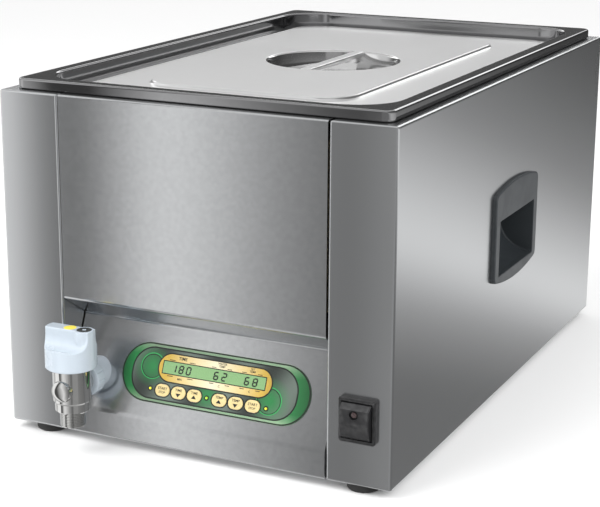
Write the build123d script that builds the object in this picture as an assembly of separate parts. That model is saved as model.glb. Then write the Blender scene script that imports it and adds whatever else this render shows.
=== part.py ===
from build123d import *
import os

os.makedirs("parts", exist_ok=True)

# Counter-top sous vide water bath for one Gastronorm 1/1 format tank.
# All lengths are millimetres. X is the width, Y the depth with the front at -Y, Z is up.
# The pieces are drawn with z = 0 at the lower edge of the casing and y = 0 at its middle;
# save() moves them to the object's own frame: z = 0 under the feet, y = 0 midway between
# the front of the valve and the end of the cable gland.

# Casing
CASE_W = 380.0
CASE_D = 585.0
CASE_H = 310.0
SHEET = 1.2
BEND = 2.4
HALF_W = CASE_W / 2
HALF_D = CASE_D / 2
SEAM_X = 130.0
SEAM_GAP = 1.0
REAR_SEAM_X = 165.0
DECK_X = 167.5
DECK_Y = 270.0
BOTTOM_FLANGE = 50.0
BOTTOM_Y = 245.0
FOOT_H = 8.0
FOOT_R = 15.0
FOOT_X = 158.0
FOOT_Y = 274.0
FOOT_HOLE_R = 2.6
SCREW_HOLE_R = 2.1

# Front recess with the sloped control face
RECESS_TOP_Z = 126.0
CREASE_Z = 104.0
CREASE_DEPTH = 35.0
SLOPE_FOOT_Z = 25.0
FLANGE_DEPTH = 18.0
CHEEK_EXTRA = 2.0

# Tank and lid: the lid is the Gastronorm 1/1 size
GN_LENGTH = 530.0
GN_WIDTH = 325.0
TANK_SHEET = 1.2
RIM_W = 360.0
RIM_L = 565.0
RIM_TOP = 319.5
RIM_LIP = 8.5
SEAT_W = 331.0
SEAT_L = 536.0
SEAT_R = 42.0
SEAT_Z = 300.0
TANK_W = 304.0
TANK_L = 508.0
TANK_R = 30.0
TANK_FLOOR = 105.0
LID_SHEET = 1.0
LID_GAP = 0.2
LID_STEP = 6.0
LID_RISE = 3.0
DISH_R = 65.0
DISH_DEPTH = 20.0
BAR_W = 12.0

# Drain valve: vertical outlet axis and horizontal inlet axis
VALVE_X = -104.0
VALVE_Y = -321.5
VALVE_Z = 56.0
THREAD_R = 11.45
THREAD_LOW = 19.5
COLLAR_LOW = 34.0
BODY_LOW = 43.0
BODY_TOP = 74.0
BODY_R = 17.0
BALL_R = 10.5
PORT_R = 6.0
CAP_LOW = 74.5
CAP_TOP = 110.5
CAP_R = 23.0
GRIP_X = 14.5
GRIP_R = 8.8
PIPE_END_Y = -262.0

# Power switch on the right front strip
SWITCH_X = 160.0
SWITCH_Z = 60.0
BEZEL_W = 34.0
BEZEL_H = 40.0
BEZEL_T = 5.0
SWITCH_OPEN_W = 28.4
SWITCH_OPEN_H = 33.4
ROCKER_W = 27.0
ROCKER_H = 31.4
ROCKER_FRONT = 12.0
ROCKER_PIVOT = 2.5

# Recessed side handles
HANDLE_Y = 8.0
HANDLE_HALF = 62.0
HANDLE_LOW = 118.5
HANDLE_HIGH = 203.0
HANDLE_BULGE = 7.0
HANDLE_T = 4.0
POCKET_HALF = 51.0
POCKET_LOW = 123.0
POCKET_HIGH = 177.0
POCKET_BACK = 35.0
POCKET_WALL = 2.0
POCKET_ROOM = 3.0

# Cable gland on the rear panel
GLAND_X = 120.0
GLAND_Z = 48.0
GLAND_REACH = 27.0
GLAND_BORE_R = 4.2

# Positions across (u) and up (v) the control face
OVERLAY_U = 14.5
OVERLAY_V = 41.7
OVERLAY_L = 187.0
OVERLAY_H = 53.5
OVERLAY_T = 0.8
DISPLAY_U = 12.7
DISPLAY_V = 48.3
DISPLAY_L = 102.0
DISPLAY_H = 11.0
KEY_V = 27.5
KEY_U = (-34.9, -18.6, -2.6, 22.3, 38.5, 55.1)
KEY_L = 14.4
KEY_H = 10.8
KEY_GAP = 0.25
KEY_PROUD = 1.3
LAMP_U = (-47.3, 9.8, 68.2)
LAMP_R = 1.35

FRONT_REACH = -VALVE_Y + CAP_R
REAR_REACH = HALF_D + GLAND_REACH
SHIFT_Y = (FRONT_REACH - REAR_REACH) / 2

# Right-handed frame on the control face: x along the panel, y up the slope, z outwards
SLOPE_RUN = CREASE_DEPTH
SLOPE_RISE = CREASE_Z - SLOPE_FOOT_Z
FACE = Plane(
    origin=(0, -HALF_D, SLOPE_FOOT_Z),
    x_dir=(1, 0, 0),
    z_dir=(0, -SLOPE_RISE, SLOPE_RUN),
).location


TO_FRAME = Pos(0, SHIFT_Y, FOOT_H)

# Turns a section drawn in (Y, Z) upright, so that it is extruded along X
UPRIGHT = Rot(0, 0, 90) * Rot(90, 0, 0)


def save(name, *solids):
    """Write one node, of one solid or of several separate ones, in the object's frame."""
    placed = [TO_FRAME * solid for solid in solids]
    shape = placed[0] if len(placed) == 1 else Compound(children=placed)
    export_step(shape, f"parts/{name}.step")


def block(x0, x1, y0, y1, z0, z1):
    """A box given by its two corners."""
    centre = Pos((x0 + x1) / 2, (y0 + y1) / 2, (z0 + z1) / 2)
    return centre * Box(x1 - x0, y1 - y0, z1 - z0)


def slab(width, length, radius, z0, z1):
    """A rounded rectangle centred on the origin, from z0 to z1."""
    return Pos(0, 0, z0) * extrude(RectangleRounded(width, length, radius), z1 - z0)


def rod(radius, z0, z1):
    """A cylinder about the Z axis, from z0 to z1."""
    return Pos(0, 0, (z0 + z1) / 2) * Cylinder(radius, z1 - z0)


def rod_y(radius, y0, y1):
    """A cylinder about the Y axis, from y0 to y1."""
    return Rot(-90, 0, 0) * rod(radius, y0, y1)


def rod_x(radius, x0, x1):
    """A cylinder about the X axis, from x0 to x1."""
    return Rot(0, 90, 0) * rod(radius, x0, x1)


def hexagon(across_flats, z0, z1):
    """A hexagonal prism about the Z axis."""
    outline = RegularPolygon(across_flats / 2, 6, major_radius=False)
    return Pos(0, 0, z0) * extrude(outline, z1 - z0)


def hexagon_y(across_flats, y0, y1):
    """A hexagonal prism about the Y axis."""
    return Rot(-90, 0, 0) * hexagon(across_flats, y0, y1)


def oval(length, height, z0, z1):
    """A slot-shaped prism in the control face's own axes."""
    return Pos(0, 0, z0) * extrude(SlotOverall(length, height), z1 - z0)


def mirrored(shape):
    """The same piece for the other side of the object."""
    return mirror(shape, about=Plane.YZ)


def screw(radius, length):
    """A pan-head screw on the Z axis: the head above z = 0, the shank below."""
    head = fillet(rod(radius * 1.9, 0, radius * 1.2).edges().group_by(Axis.Z)[-1], radius * 0.5)
    drive = Pos(0, 0, radius * 1.2) * Rot(0, 0, 45) * Box(radius * 2, radius * 0.5, radius)
    return head + rod(radius, -length, 0) - drive - Rot(0, 0, 90) * drive


# ---------------------------------------------------------------- casing

def rounded_box(x0, x1, y0, y1, z0, z1, radius):
    """A box with every edge rounded."""
    box = block(x0, x1, y0, y1, z0, z1)
    return fillet(box.edges(), radius)


SWITCH_HOLE = Pos(SWITCH_X, -HALF_D, SWITCH_Z) * Box(SWITCH_OPEN_W, 8, SWITCH_OPEN_H)
FOOT_PLACES = [(FOOT_X, -FOOT_Y), (FOOT_X, FOOT_Y), (-FOOT_X, -FOOT_Y), (-FOOT_X, FOOT_Y)]
BASE_SCREW_PLACES = [(x, y) for x in (-160, 160) for y in (-170, 0, 170)]
REAR_SCREW_PLACES = [(x, z) for x in (-157.5, 157.5) for z in (30, 150, 270)]


def side_shell():
    """Right side: front strip with its cheek, side, rear strip, deck and bottom flanges."""
    outer = rounded_box(SEAM_X, HALF_W, -HALF_D, HALF_D, 0, CASE_H, BEND)
    inner = rounded_box(
        SEAM_X + SHEET, HALF_W - SHEET, -HALF_D + SHEET, HALF_D - SHEET, SHEET, CASE_H - SHEET, BEND - SHEET
    )
    shell = outer - inner
    cheek_y = -HALF_D + CREASE_DEPTH + CHEEK_EXTRA
    shell -= block(SEAM_X - 1, REAR_SEAM_X, cheek_y, HALF_D + 1, SHEET, CASE_H + 1)
    shell -= block(SEAM_X - 1, DECK_X, -DECK_Y, cheek_y + 1, RECESS_TOP_Z + 10, CASE_H + 1)
    shell -= block(REAR_SEAM_X - 1, DECK_X, cheek_y, DECK_Y, CASE_H - 5, CASE_H + 1)
    shell -= block(SEAM_X - 1, HALF_W - BOTTOM_FLANGE, -BOTTOM_Y, BOTTOM_Y, -1, SHEET + 3)
    lip_y = HALF_D - 2 * SHEET
    shell += block(REAR_SEAM_X - 16, REAR_SEAM_X + 6, lip_y, lip_y + SHEET, SHEET, CASE_H - 2 * SHEET)
    hole_y = POCKET_HALF + POCKET_ROOM
    pocket_hole = block(HALF_W - 8, HALF_W + 1, -hole_y, hole_y, POCKET_LOW - POCKET_ROOM, POCKET_HIGH + 6)
    shell -= Pos(0, HANDLE_Y, 0) * pocket_hole
    for x, y in FOOT_PLACES:
        shell -= Pos(x, y, 0) * Cylinder(FOOT_HOLE_R, 6)
    for x, y in BASE_SCREW_PLACES:
        shell -= Pos(x, y, 0) * Cylinder(SCREW_HOLE_R, 6)
    for x, z in REAR_SCREW_PLACES:
        shell -= Pos(x, HALF_D, z) * Rot(90, 0, 0) * Cylinder(SCREW_HOLE_R, 10)
    return shell


def bent_sheet(points, width):
    """A folded sheet: its outer outline in Y and Z, thickened inwards, extruded along X."""
    line = FilletPolyline(*points, radius=BEND)
    wall = offset(line, amount=SHEET, side=Side.LEFT)
    profile = make_face(wall.edges())
    solid = extrude(profile, width)
    return Pos(-width / 2, 0, 0) * UPRIGHT * solid


def front_panel():
    """Upper panel, return, sloped control face and bottom band, folded from one sheet."""
    outline = [
        (-HALF_D + FLANGE_DEPTH, CASE_H),
        (-HALF_D, CASE_H),
        (-HALF_D, RECESS_TOP_Z),
        (-HALF_D + CREASE_DEPTH, CREASE_Z),
        (-HALF_D, SLOPE_FOOT_Z),
        (-HALF_D, 0),
        (-HALF_D + FLANGE_DEPTH, 0),
    ]
    panel = bent_sheet(outline, 2 * (SEAM_X - SEAM_GAP))
    display = Pos(DISPLAY_U, DISPLAY_V, -2) * Box(DISPLAY_L + 4, DISPLAY_H + 4, 6)
    panel -= FACE * display
    for u in KEY_U:
        panel -= FACE * Pos(u, KEY_V, 0) * oval(KEY_L + 1.4, KEY_H + 1.4, -3, 1)
    for u in LAMP_U:
        panel -= FACE * Pos(u, KEY_V, -1) * Cylinder(LAMP_R + 0.5, 6)
    panel -= Pos(VALVE_X, 0, VALVE_Z) * rod_y(11.2, -HALF_D - 2, -HALF_D + 60)
    return panel


def rear_panel():
    """Removable back with a deck flange along its top edge and the gland hole."""
    width = 2 * (REAR_SEAM_X - SEAM_GAP)
    outline = [
        (HALF_D, SHEET + 2),
        (HALF_D, CASE_H),
        (DECK_Y, CASE_H),
    ]
    panel = bent_sheet(outline, width)
    panel -= Pos(GLAND_X, 0, GLAND_Z) * rod_y(8.1, HALF_D - 5, HALF_D + 5)
    for x, z in REAR_SCREW_PLACES:
        panel -= Pos(x, 0, z) * rod_y(SCREW_HOLE_R, HALF_D - 5, HALF_D + 5)
    for x in range(-90, 91, 12):
        panel -= Pos(x, HALF_D, 110) * Box(4, 8, 36)
    return panel


def base_plate():
    """Floor of the machine space, lying on the bottom flanges, with cooling slots."""
    plate = block(-186, 186, -288, 286, SHEET, 2 * SHEET)
    cheek_notch = block(SEAM_X - 2, SEAM_X + 3, -290, -HALF_D + CREASE_DEPTH + 2 * CHEEK_EXTRA, 0, 5)
    plate -= cheek_notch + mirrored(cheek_notch)
    for x in range(-110, 111, 20):
        for y in (-120, 0, 120):
            plate -= Pos(x, y, SHEET) * extrude(SlotOverall(70, 5, rotation=90), 10, both=True)
    for x, y in FOOT_PLACES:
        plate -= Pos(x, y, 0) * Cylinder(FOOT_HOLE_R, 10)
    for x, y in BASE_SCREW_PLACES:
        plate -= Pos(x, y, 0) * Cylinder(SCREW_HOLE_R, 10)
    return plate


def rubber_foot():
    """A foot with a soft lower edge and a well for its screw."""
    foot = fillet(rod(FOOT_R, -FOOT_H, 0).edges().group_by(Axis.Z)[0], 2.5)
    return foot - rod(5.5, -FOOT_H, -3) - rod(FOOT_HOLE_R, -4, 0)


def foot_screw():
    """Screw that clamps a foot through the flange and the base plate."""
    return Pos(0, 0, -3) * Rot(180, 0, 0) * screw(2.5, 10)


def build_casing():
    shell = side_shell()
    save("right_side_shell", shell - SWITCH_HOLE)
    save("left_side_shell", mirrored(shell))
    save("front_panel", front_panel())
    save("rear_panel", rear_panel())
    save("base_plate", base_plate())
    foot = rubber_foot()
    save("rubber_feet", *[Pos(x, y, 0) * foot for x, y in FOOT_PLACES])
    bolt = foot_screw()
    save("foot_screws", *[Pos(x, y, 0) * bolt for x, y in FOOT_PLACES])
    screws = [Pos(x, y, 0) * Rot(180, 0, 0) * screw(2.0, 8) for x, y in BASE_SCREW_PLACES]
    screws += [Pos(x, HALF_D, z) * Rot(-90, 0, 0) * screw(2.0, 8) for x, z in REAR_SCREW_PLACES]
    save("casing_screws", *screws)


# ---------------------------------------------------------------- side handles

def handle_outline():
    """Plate outline in the side wall's plane: straight ends, bowed top and bottom."""
    high_left, high_right = (-HANDLE_HALF, HANDLE_HIGH), (HANDLE_HALF, HANDLE_HIGH)
    low_left, low_right = (-HANDLE_HALF, HANDLE_LOW), (HANDLE_HALF, HANDLE_LOW)
    top = ThreePointArc(high_right, (0, HANDLE_HIGH + HANDLE_BULGE), high_left)
    left = Line(high_left, low_left)
    low = ThreePointArc(low_left, (0, HANDLE_LOW - HANDLE_BULGE), low_right)
    right = Line(low_right, high_right)
    face = make_face([top, left, low, right])
    return fillet(face.vertices(), 5)


def pocket_section(grow):
    """Pocket outline, depth against height: a deep top and a floor that curves outwards."""
    back = -POCKET_BACK - grow
    mouth = 1.0
    high = POCKET_HIGH + grow
    low = POCKET_LOW - grow
    knee = 152.0
    roof = Polyline((mouth, low), (mouth, high), (back, high), (back, knee))
    floor = ThreePointArc((back, knee), (back * 0.66, POCKET_LOW + 9 - grow), (mouth, low))
    return make_face([roof, floor])


def side_handle():
    """Right-hand recessed pull: proud plate, pocket and hollow back, one moulding."""
    plate = Pos(HALF_W, HANDLE_Y, 0) * UPRIGHT * extrude(handle_outline(), HANDLE_T)
    rim = plate.edges().group_by(Axis.X)[-1]
    plate = fillet(rim, 1.5)
    mouth_x = HALF_W + HANDLE_T
    shell = extrude(pocket_section(POCKET_WALL), POCKET_HALF + POCKET_WALL, both=True)
    room = extrude(pocket_section(0), POCKET_HALF, both=True)
    turn = Pos(mouth_x, HANDLE_Y, 0) * Rot(90, 0, 0)
    outside = block(mouth_x, mouth_x + 5, -200, 200, 0, 300)
    handle = plate + (turn * shell - outside)
    return handle - turn * room


def build_handles():
    handle = side_handle()
    save("right_handle", handle)
    save("left_handle", mirrored(handle))


# ---------------------------------------------------------------- tank and lid

PROBE_X = 60.0
PROBE_Z = 150.0
DRAIN_Y = -212.0
DRAIN_TUBE_R = 12.0


def bath_tank():
    """Deep drawn tank: turned-down rim, lid seat, well and rounded floor."""
    t = TANK_SHEET
    rim = slab(RIM_W, RIM_L, 9, RIM_TOP - RIM_LIP, RIM_TOP)
    rim = fillet(rim.edges().group_by(Axis.Z)[-1], 2.5)
    under_rim = slab(RIM_W - 2 * t, RIM_L - 2 * t, 9 - t, RIM_TOP - RIM_LIP - 1, RIM_TOP - t)
    under_rim = fillet(under_rim.edges().group_by(Axis.Z)[-1], 2.5 - t)
    seat = slab(SEAT_W + 2 * t, SEAT_L + 2 * t, SEAT_R + t, SEAT_Z - t, RIM_TOP - t / 2)
    seat = fillet(seat.edges().group_by(Axis.Z)[0], 3 + t)
    well = slab(TANK_W + 2 * t, TANK_L + 2 * t, TANK_R + t, TANK_FLOOR - t, SEAT_Z)
    well = fillet(well.edges().group_by(Axis.Z)[0], 12 + t)
    seat_room = slab(SEAT_W, SEAT_L, SEAT_R, SEAT_Z, RIM_TOP + 1)
    seat_room = fillet(seat_room.edges().group_by(Axis.Z)[0], 3)
    well_room = slab(TANK_W, TANK_L, TANK_R, TANK_FLOOR, SEAT_Z + 1)
    well_room = fillet(well_room.edges().group_by(Axis.Z)[0], 12)
    tank = (rim - under_rim) + seat + well - seat_room - well_room
    tank -= Pos(VALVE_X, DRAIN_Y, TANK_FLOOR) * Cylinder(DRAIN_TUBE_R, 10)
    tank -= Pos(PROBE_X, 0, PROBE_Z) * rod_y(3, -TANK_L / 2 - 5, -TANK_L / 2 + 5)
    return tank


def rim_seal():
    """Rubber seal that fills the rim and stands on the deck."""
    low = CASE_H
    high = RIM_TOP - TANK_SHEET
    return slab(RIM_W - 5, RIM_L - 5, 7, low, high - 1.5) - slab(RIM_W - 14, RIM_L - 14, 4, low - 1, high)


def lid_panel():
    """Pressed lid: flat flange, raised border, raised field and a round dish."""
    t = LID_SHEET
    z0 = SEAT_Z + LID_GAP
    border_top = z0 + t + LID_STEP
    field_top = border_top + LID_RISE
    flange = slab(GN_WIDTH, GN_LENGTH, 38, z0, z0 + t)
    border = slab(GN_WIDTH - 24, GN_LENGTH - 24, 30, z0, border_top)
    border = fillet(border.edges().group_by(Axis.Z)[-1], 2.5)
    field = slab(205, 400, 30, border_top - t, field_top)
    field = fillet(field.edges().group_by(Axis.Z)[-1], 2)
    border_room = slab(GN_WIDTH - 24 - 2 * t, GN_LENGTH - 24 - 2 * t, 30 - t, z0 - 1, border_top - t)
    field_room = slab(205 - 2 * t, 400 - 2 * t, 30 - t, z0, field_top - t)
    dish = rod(DISH_R + t, field_top - DISH_DEPTH - t, field_top - t / 2)
    dish = fillet(dish.edges().group_by(Axis.Z)[0], 8 + t)
    dish_room = rod(DISH_R, field_top - DISH_DEPTH, field_top + 1)
    dish_room = fillet(dish_room.edges().group_by(Axis.Z)[0], 8)
    return flange + border + field - border_room - field_room + dish - dish_room


def lid_handle_bar():
    """Grip strap that bridges the dish, flush with the raised field."""
    top = SEAT_Z + LID_GAP + LID_SHEET + LID_STEP + LID_RISE
    bar = block(-BAR_W / 2, BAR_W / 2, -DISH_R, DISH_R, top - 5, top)
    return bar & rod(DISH_R, top - 6, top + 1)


def false_bottom():
    """Perforated plate on four feet that keeps the bags off the heated floor."""
    outline = RectangleRounded(296, 500, 26)
    outline -= GridLocations(24, 24, 12, 20) * Circle(6)
    plate = Pos(0, 0, TANK_FLOOR + 13) * extrude(outline, 1.2)
    for x in (-120, 120):
        for y in (-180, 180):
            plate += Pos(x, y, 0) * rod(7, TANK_FLOOR + 0.3, TANK_FLOOR + 13)
    return plate


def tank_insulation():
    """Mineral wool jacket round the tank wall, cut back behind the side handles."""
    low, high = 140, 290
    clear = TANK_SHEET + 0.4
    jacket = slab(TANK_W + 26, TANK_L + 26, TANK_R + 13, low, high)
    jacket -= slab(TANK_W + 2 * clear, TANK_L + 2 * clear, TANK_R + clear, low - 1, high + 1)
    for side in (-1, 1):
        jacket -= Pos(side * 165, HANDLE_Y, 150) * Box(40, 2 * POCKET_HALF + 14, 70)
    jacket -= Pos(PROBE_X, 0, PROBE_Z) * rod_y(12, -TANK_L / 2 - 20, -TANK_L / 2 + 5)
    return jacket


def heating_mat():
    """Heating mat pressed against the underside of the tank floor."""
    top = TANK_FLOOR - TANK_SHEET
    return Pos(0, 30, 0) * slab(250, 400, 10, top - 2, top)


def heater_clamp_plate():
    """Plate that presses the mat against the floor, with stiffening ribs."""
    top = TANK_FLOOR - TANK_SHEET - 2
    plate = Pos(0, 30, 0) * slab(260, 410, 12, top - 1.5, top)
    for x in (-80, 0, 80):
        plate += Pos(x, 30, top - 4.5) * Box(8, 360, 6)
    return plate


def temp_probe():
    """Immersion probe through the front wall of the tank, with its hexagon and nut."""
    wall = -TANK_L / 2 - TANK_SHEET
    probe = rod_y(3, wall - 18, wall + 16)
    probe += hexagon_y(12, wall - 5, wall)
    probe += hexagon_y(9, wall - 12, wall - 6)
    return Pos(PROBE_X, 0, PROBE_Z) * probe


def safety_thermostat():
    """Over-temperature cut-out on the clamp plate."""
    top = TANK_FLOOR - TANK_SHEET - 3.5
    body = rod(12, top - 10, top) + Pos(0, 0, top - 1) * Box(44, 10, 2)
    for x in (-5, 5):
        body += Pos(x, 0, top - 14) * Box(1, 6, 8)
    return Pos(40, 60, 0) * body


def drain_flange():
    """Outlet fitting in the tank floor: flange above, threaded tube below."""
    fitting = rod(20, TANK_FLOOR, TANK_FLOOR + 2) + rod(DRAIN_TUBE_R, 84, TANK_FLOOR + 1)
    fitting -= rod(9, 80, TANK_FLOOR + 3)
    return Pos(VALVE_X, DRAIN_Y, 0) * fitting


def drain_gasket():
    top = TANK_FLOOR - TANK_SHEET
    return Pos(VALVE_X, DRAIN_Y, 0) * (rod(18, top - 2, top) - rod(DRAIN_TUBE_R, top - 3, top + 1))


def drain_nut():
    top = TANK_FLOOR - TANK_SHEET - 2
    return Pos(VALVE_X, DRAIN_Y, 0) * (hexagon(34, top - 6, top) - rod(DRAIN_TUBE_R, 80, top + 1))


def drain_pipe():
    """Bent pipe from the tank outlet to the tail of the valve."""
    start = (VALVE_X, DRAIN_Y, 84)
    corner = (VALVE_X, DRAIN_Y, VALVE_Z)
    end = (VALVE_X, PIPE_END_Y, VALVE_Z)
    path = FilletPolyline(start, corner, end, radius=18)
    section = Plane(origin=start, z_dir=(0, 0, -1)) * (Circle(10) - Circle(8))
    return sweep(section, path=path)


def build_tank():
    save("bath_tank", bath_tank())
    save("rim_seal", rim_seal())
    save("lid_panel", lid_panel())
    save("lid_handle_bar", lid_handle_bar())
    save("false_bottom", false_bottom())
    save("tank_insulation", tank_insulation())
    save("heating_mat", heating_mat())
    save("heater_clamp_plate", heater_clamp_plate())
    save("temp_probe", temp_probe())
    save("safety_thermostat", safety_thermostat())
    save("drain_flange", drain_flange())
    save("drain_gasket", drain_gasket())
    save("drain_nut", drain_nut())
    save("drain_pipe", drain_pipe())


# ---------------------------------------------------------------- drain valve
# Drawn with the outlet axis on Z, then moved to the valve's place.

VALVE_AT = Pos(VALVE_X, VALVE_Y, 0)
TAIL_END = PIPE_END_Y - VALVE_Y
SEAT_CLEAR = 0.3
BONNET_R = 11.1
STEM_R = 4.0


def inlet_rod(radius, y0, y1):
    """A cylinder along the inlet axis."""
    return Pos(0, 0, VALVE_Z) * rod_y(radius, y0, y1)


def valve_body():
    """Angle body: hose thread below, domed plug in front, tail through the panel."""
    body = rod(BODY_R, BODY_LOW, BODY_TOP)
    body = chamfer(body.edges().group_by(Axis.Z)[0], 1.2)
    collar = chamfer(rod(15.6, COLLAR_LOW, BODY_LOW + 2).edges().group_by(Axis.Z)[0], 1.5)
    thread = rod(THREAD_R, THREAD_LOW, COLLAR_LOW + 1)
    body += collar + chamfer(thread.edges().group_by(Axis.Z)[0], 1)
    dome = inlet_rod(10, -BODY_R - 3.5, 0)
    dome = fillet(dome.edges().sort_by(Axis.Y)[0], 3)
    body += dome + inlet_rod(11, 0, TAIL_END)
    body -= rod(BONNET_R, BODY_LOW, BODY_TOP + 1)
    body -= rod(PORT_R, COLLAR_LOW, BODY_LOW + 1) + rod(9, THREAD_LOW - 1, COLLAR_LOW)
    body -= inlet_rod(8.4, 0, 13) + inlet_rod(8, 18, TAIL_END + 1) + inlet_rod(PORT_R, 0, 20)
    return VALVE_AT * body


def ball_seats():
    """Two plastic rings that seal the ball towards the outlet and the inlet."""
    cutter = Pos(0, 0, VALVE_Z) * Sphere(BALL_R + SEAT_CLEAR)
    lower = rod(10, BODY_LOW, 47.4) - rod(PORT_R, BODY_LOW - 1, 48) - cutter
    rear = inlet_rod(8.4, 6, 13) - inlet_rod(PORT_R, 5, 14) - cutter
    return [VALVE_AT * lower, VALVE_AT * rear]


def valve_bonnet():
    """Screwed ring that closes the body round the stem."""
    bonnet = rod(BONNET_R, 67.5, BODY_TOP + 3)
    bonnet -= rod(STEM_R + 0.06, 60, 90)
    return VALVE_AT * bonnet


def union_nut():
    """Round nut behind the body."""
    nut = inlet_rod(16, 18, 31)
    nut = fillet(nut.edges().filter_by(GeomType.CIRCLE), 2)
    return VALVE_AT * (nut - inlet_rod(11, 10, 40))


def behind_face(depth):
    """Half space behind the control face, moved inwards by a depth."""
    return FACE * Pos(0, 0, -depth - 100) * Box(600, 600, 200)


def wall_rosette():
    """Wedge-backed rosette between the nut and the sloped face."""
    disc = inlet_rod(13.6, 31, 62) - inlet_rod(11, 20, 80)
    return VALVE_AT * disc - behind_face(0)


def wedge_washer():
    """Wedge washer behind the panel, which squares the lock nut to the tail."""
    washer = inlet_rod(15, 38, 54) - inlet_rod(11, 20, 80)
    return (VALVE_AT * washer) & behind_face(SHEET)


def tail_lock_nut():
    nut = Pos(0, 0, VALVE_Z) * hexagon_y(28, 54, 58.5)
    return VALVE_AT * (nut - inlet_rod(11, 20, 80))


def valve_ball():
    """Ball with an L port: the side port faces sideways while the valve is closed."""
    ball = Sphere(BALL_R) - rod(PORT_R, -20, 0) - rod_x(PORT_R, 0, 20)
    ball -= Pos(0, 0, BALL_R) * Box(20, 2.7, 6)
    return VALVE_AT * Pos(0, 0, VALVE_Z) * ball


def valve_stem():
    tongue = Pos(0, 0, VALVE_Z + BALL_R - 0.8) * Box(7, 2.4, 3.4)
    return VALVE_AT * (rod(STEM_R, VALVE_Z + BALL_R + 0.2, 92) + tongue)


def valve_cap():
    """Cap handle: round skirt, finger scoops either side of the bar, round grip end."""
    cap = fillet(rod(CAP_R, CAP_LOW, CAP_TOP).edges().group_by(Axis.Z)[0], 1)
    for side in (-1, 1):
        cap -= Pos(0, side * 17, 104) * Rot(0, 90, 0) * Cylinder(10.5, 80)
        cap -= block(-40, 40, min(side * 6.5, side * 40), max(side * 6.5, side * 40), 104, 120)
    grip = rod(GRIP_R, CAP_LOW + 12, CAP_TOP)
    cap += Pos(GRIP_X, 0, 0) * grip
    cap -= rod(18.5, CAP_LOW - 1, 86) - rod(7.5, 79, 90)
    cap -= rod(STEM_R, 70, 92)
    cap -= Pos(GRIP_X, 0, 0) * rod(7, CAP_TOP - 1.5, CAP_TOP + 1)
    cap -= rod(6, CAP_TOP - 0.8, CAP_TOP + 1)
    return VALVE_AT * cap


def black_plug():
    return VALVE_AT * Pos(GRIP_X, 0, 0) * rod(7, CAP_TOP - 1.5, CAP_TOP - 0.2)


def yellow_marker():
    return VALVE_AT * rod(6, CAP_TOP - 0.8, CAP_TOP)


def build_valve():
    save("valve_body", valve_body())
    save("ball_seats", *ball_seats())
    save("valve_bonnet", valve_bonnet())
    save("union_nut", union_nut())
    save("wall_rosette", wall_rosette())
    save("wedge_washer", wedge_washer())
    save("tail_lock_nut", tail_lock_nut())
    save("valve_ball", valve_ball())
    save("valve_stem", valve_stem())
    save("valve_cap", valve_cap())
    save("cap_plug", black_plug())
    save("cap_marker", yellow_marker())


# ---------------------------------------------------------------- controls
# Drawn in the control face's own axes, then placed by FACE.

BOARD_FRONT = -12.4
BOARD_T = 1.6


def control_overlay():
    """Moulded overlay with the display opening and the key and lamp holes."""
    plate = Pos(OVERLAY_U, OVERLAY_V, 0) * oval(OVERLAY_L, OVERLAY_H, 0, OVERLAY_T)
    plate -= Pos(DISPLAY_U, DISPLAY_V, 0) * Box(DISPLAY_L, DISPLAY_H, 4)
    for u in KEY_U:
        plate -= Pos(u, KEY_V, 0) * oval(KEY_L + 2 * KEY_GAP, KEY_H + 2 * KEY_GAP, -1, 2)
    for u in LAMP_U:
        plate -= Pos(u, KEY_V, 0) * Cylinder(LAMP_R, 4)
    return FACE * plate


def display_window():
    window = Box(DISPLAY_L, DISPLAY_H, OVERLAY_T + 0.2)
    return FACE * Pos(DISPLAY_U, DISPLAY_V, OVERLAY_T / 2 - 0.2) * window


def display_module():
    """Liquid crystal module on the control board, behind the window."""
    frame = Pos(DISPLAY_U, DISPLAY_V, -6) * Box(116, 26, 7)
    glass = Pos(DISPLAY_U, DISPLAY_V, -2) * Box(DISPLAY_L, DISPLAY_H, 1.6)
    pins = Pos(DISPLAY_U, DISPLAY_V + 8, -10.9) * Box(90, 4, 3)
    return FACE * (frame + glass + pins)


def control_key():
    """One oval key with a soft edge and a plunger towards its switch."""
    top = oval(KEY_L, KEY_H, -1.6, KEY_PROUD)
    top = fillet(top.edges().group_by(Axis.Z)[-1], 0.5)
    return top + rod(2, -6.5, -1.5)


def indicator_lamps():
    lamp = rod(LAMP_R - 0.05, BOARD_FRONT, 1.0) + Pos(0, 0, 1.0) * Sphere(LAMP_R - 0.05)
    return [FACE * Pos(u, KEY_V, 0) * lamp for u in LAMP_U]


def control_board():
    """Circuit board with a push switch under each key."""
    board = Pos(OVERLAY_U, 40, BOARD_FRONT - BOARD_T / 2) * Box(196, 58, BOARD_T)
    for u in KEY_U:
        board += Pos(u, KEY_V, BOARD_FRONT + 1.7) * Box(6, 6, 3.6)
    board += Pos(60, 30, BOARD_FRONT - 3.5) * Box(24, 24, 4)
    return FACE * board


def board_standoffs():
    post = rod(3, BOARD_FRONT, -SHEET)
    return [FACE * Pos(OVERLAY_U + du, v, 0) * post for du in (-92, 92) for v in (16, 64)]


def power_board():
    """Mains board with its heat sink, terminals and relay, on four pillars."""
    board = block(20, 150, 100, 200, 12, 13.6)
    board += block(30, 80, 110, 116, 13, 45)
    board += block(95, 140, 108, 120, 13, 26)
    board += block(95, 125, 150, 180, 13, 40)
    for x in (26, 144):
        for y in (106, 194):
            board += Pos(x, y, 0) * rod(4, 2 * SHEET, 12.5)
    return board


def transformer():
    """Laminated core with its winding."""
    core = block(-120, -66, 110, 158, 2 * SHEET, 47)
    core = chamfer(core.edges().filter_by(Axis.Y), 2)
    winding = fillet(block(-110, -76, 102, 166, 10, 40).edges().filter_by(Axis.Y), 5)
    return core + winding


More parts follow.
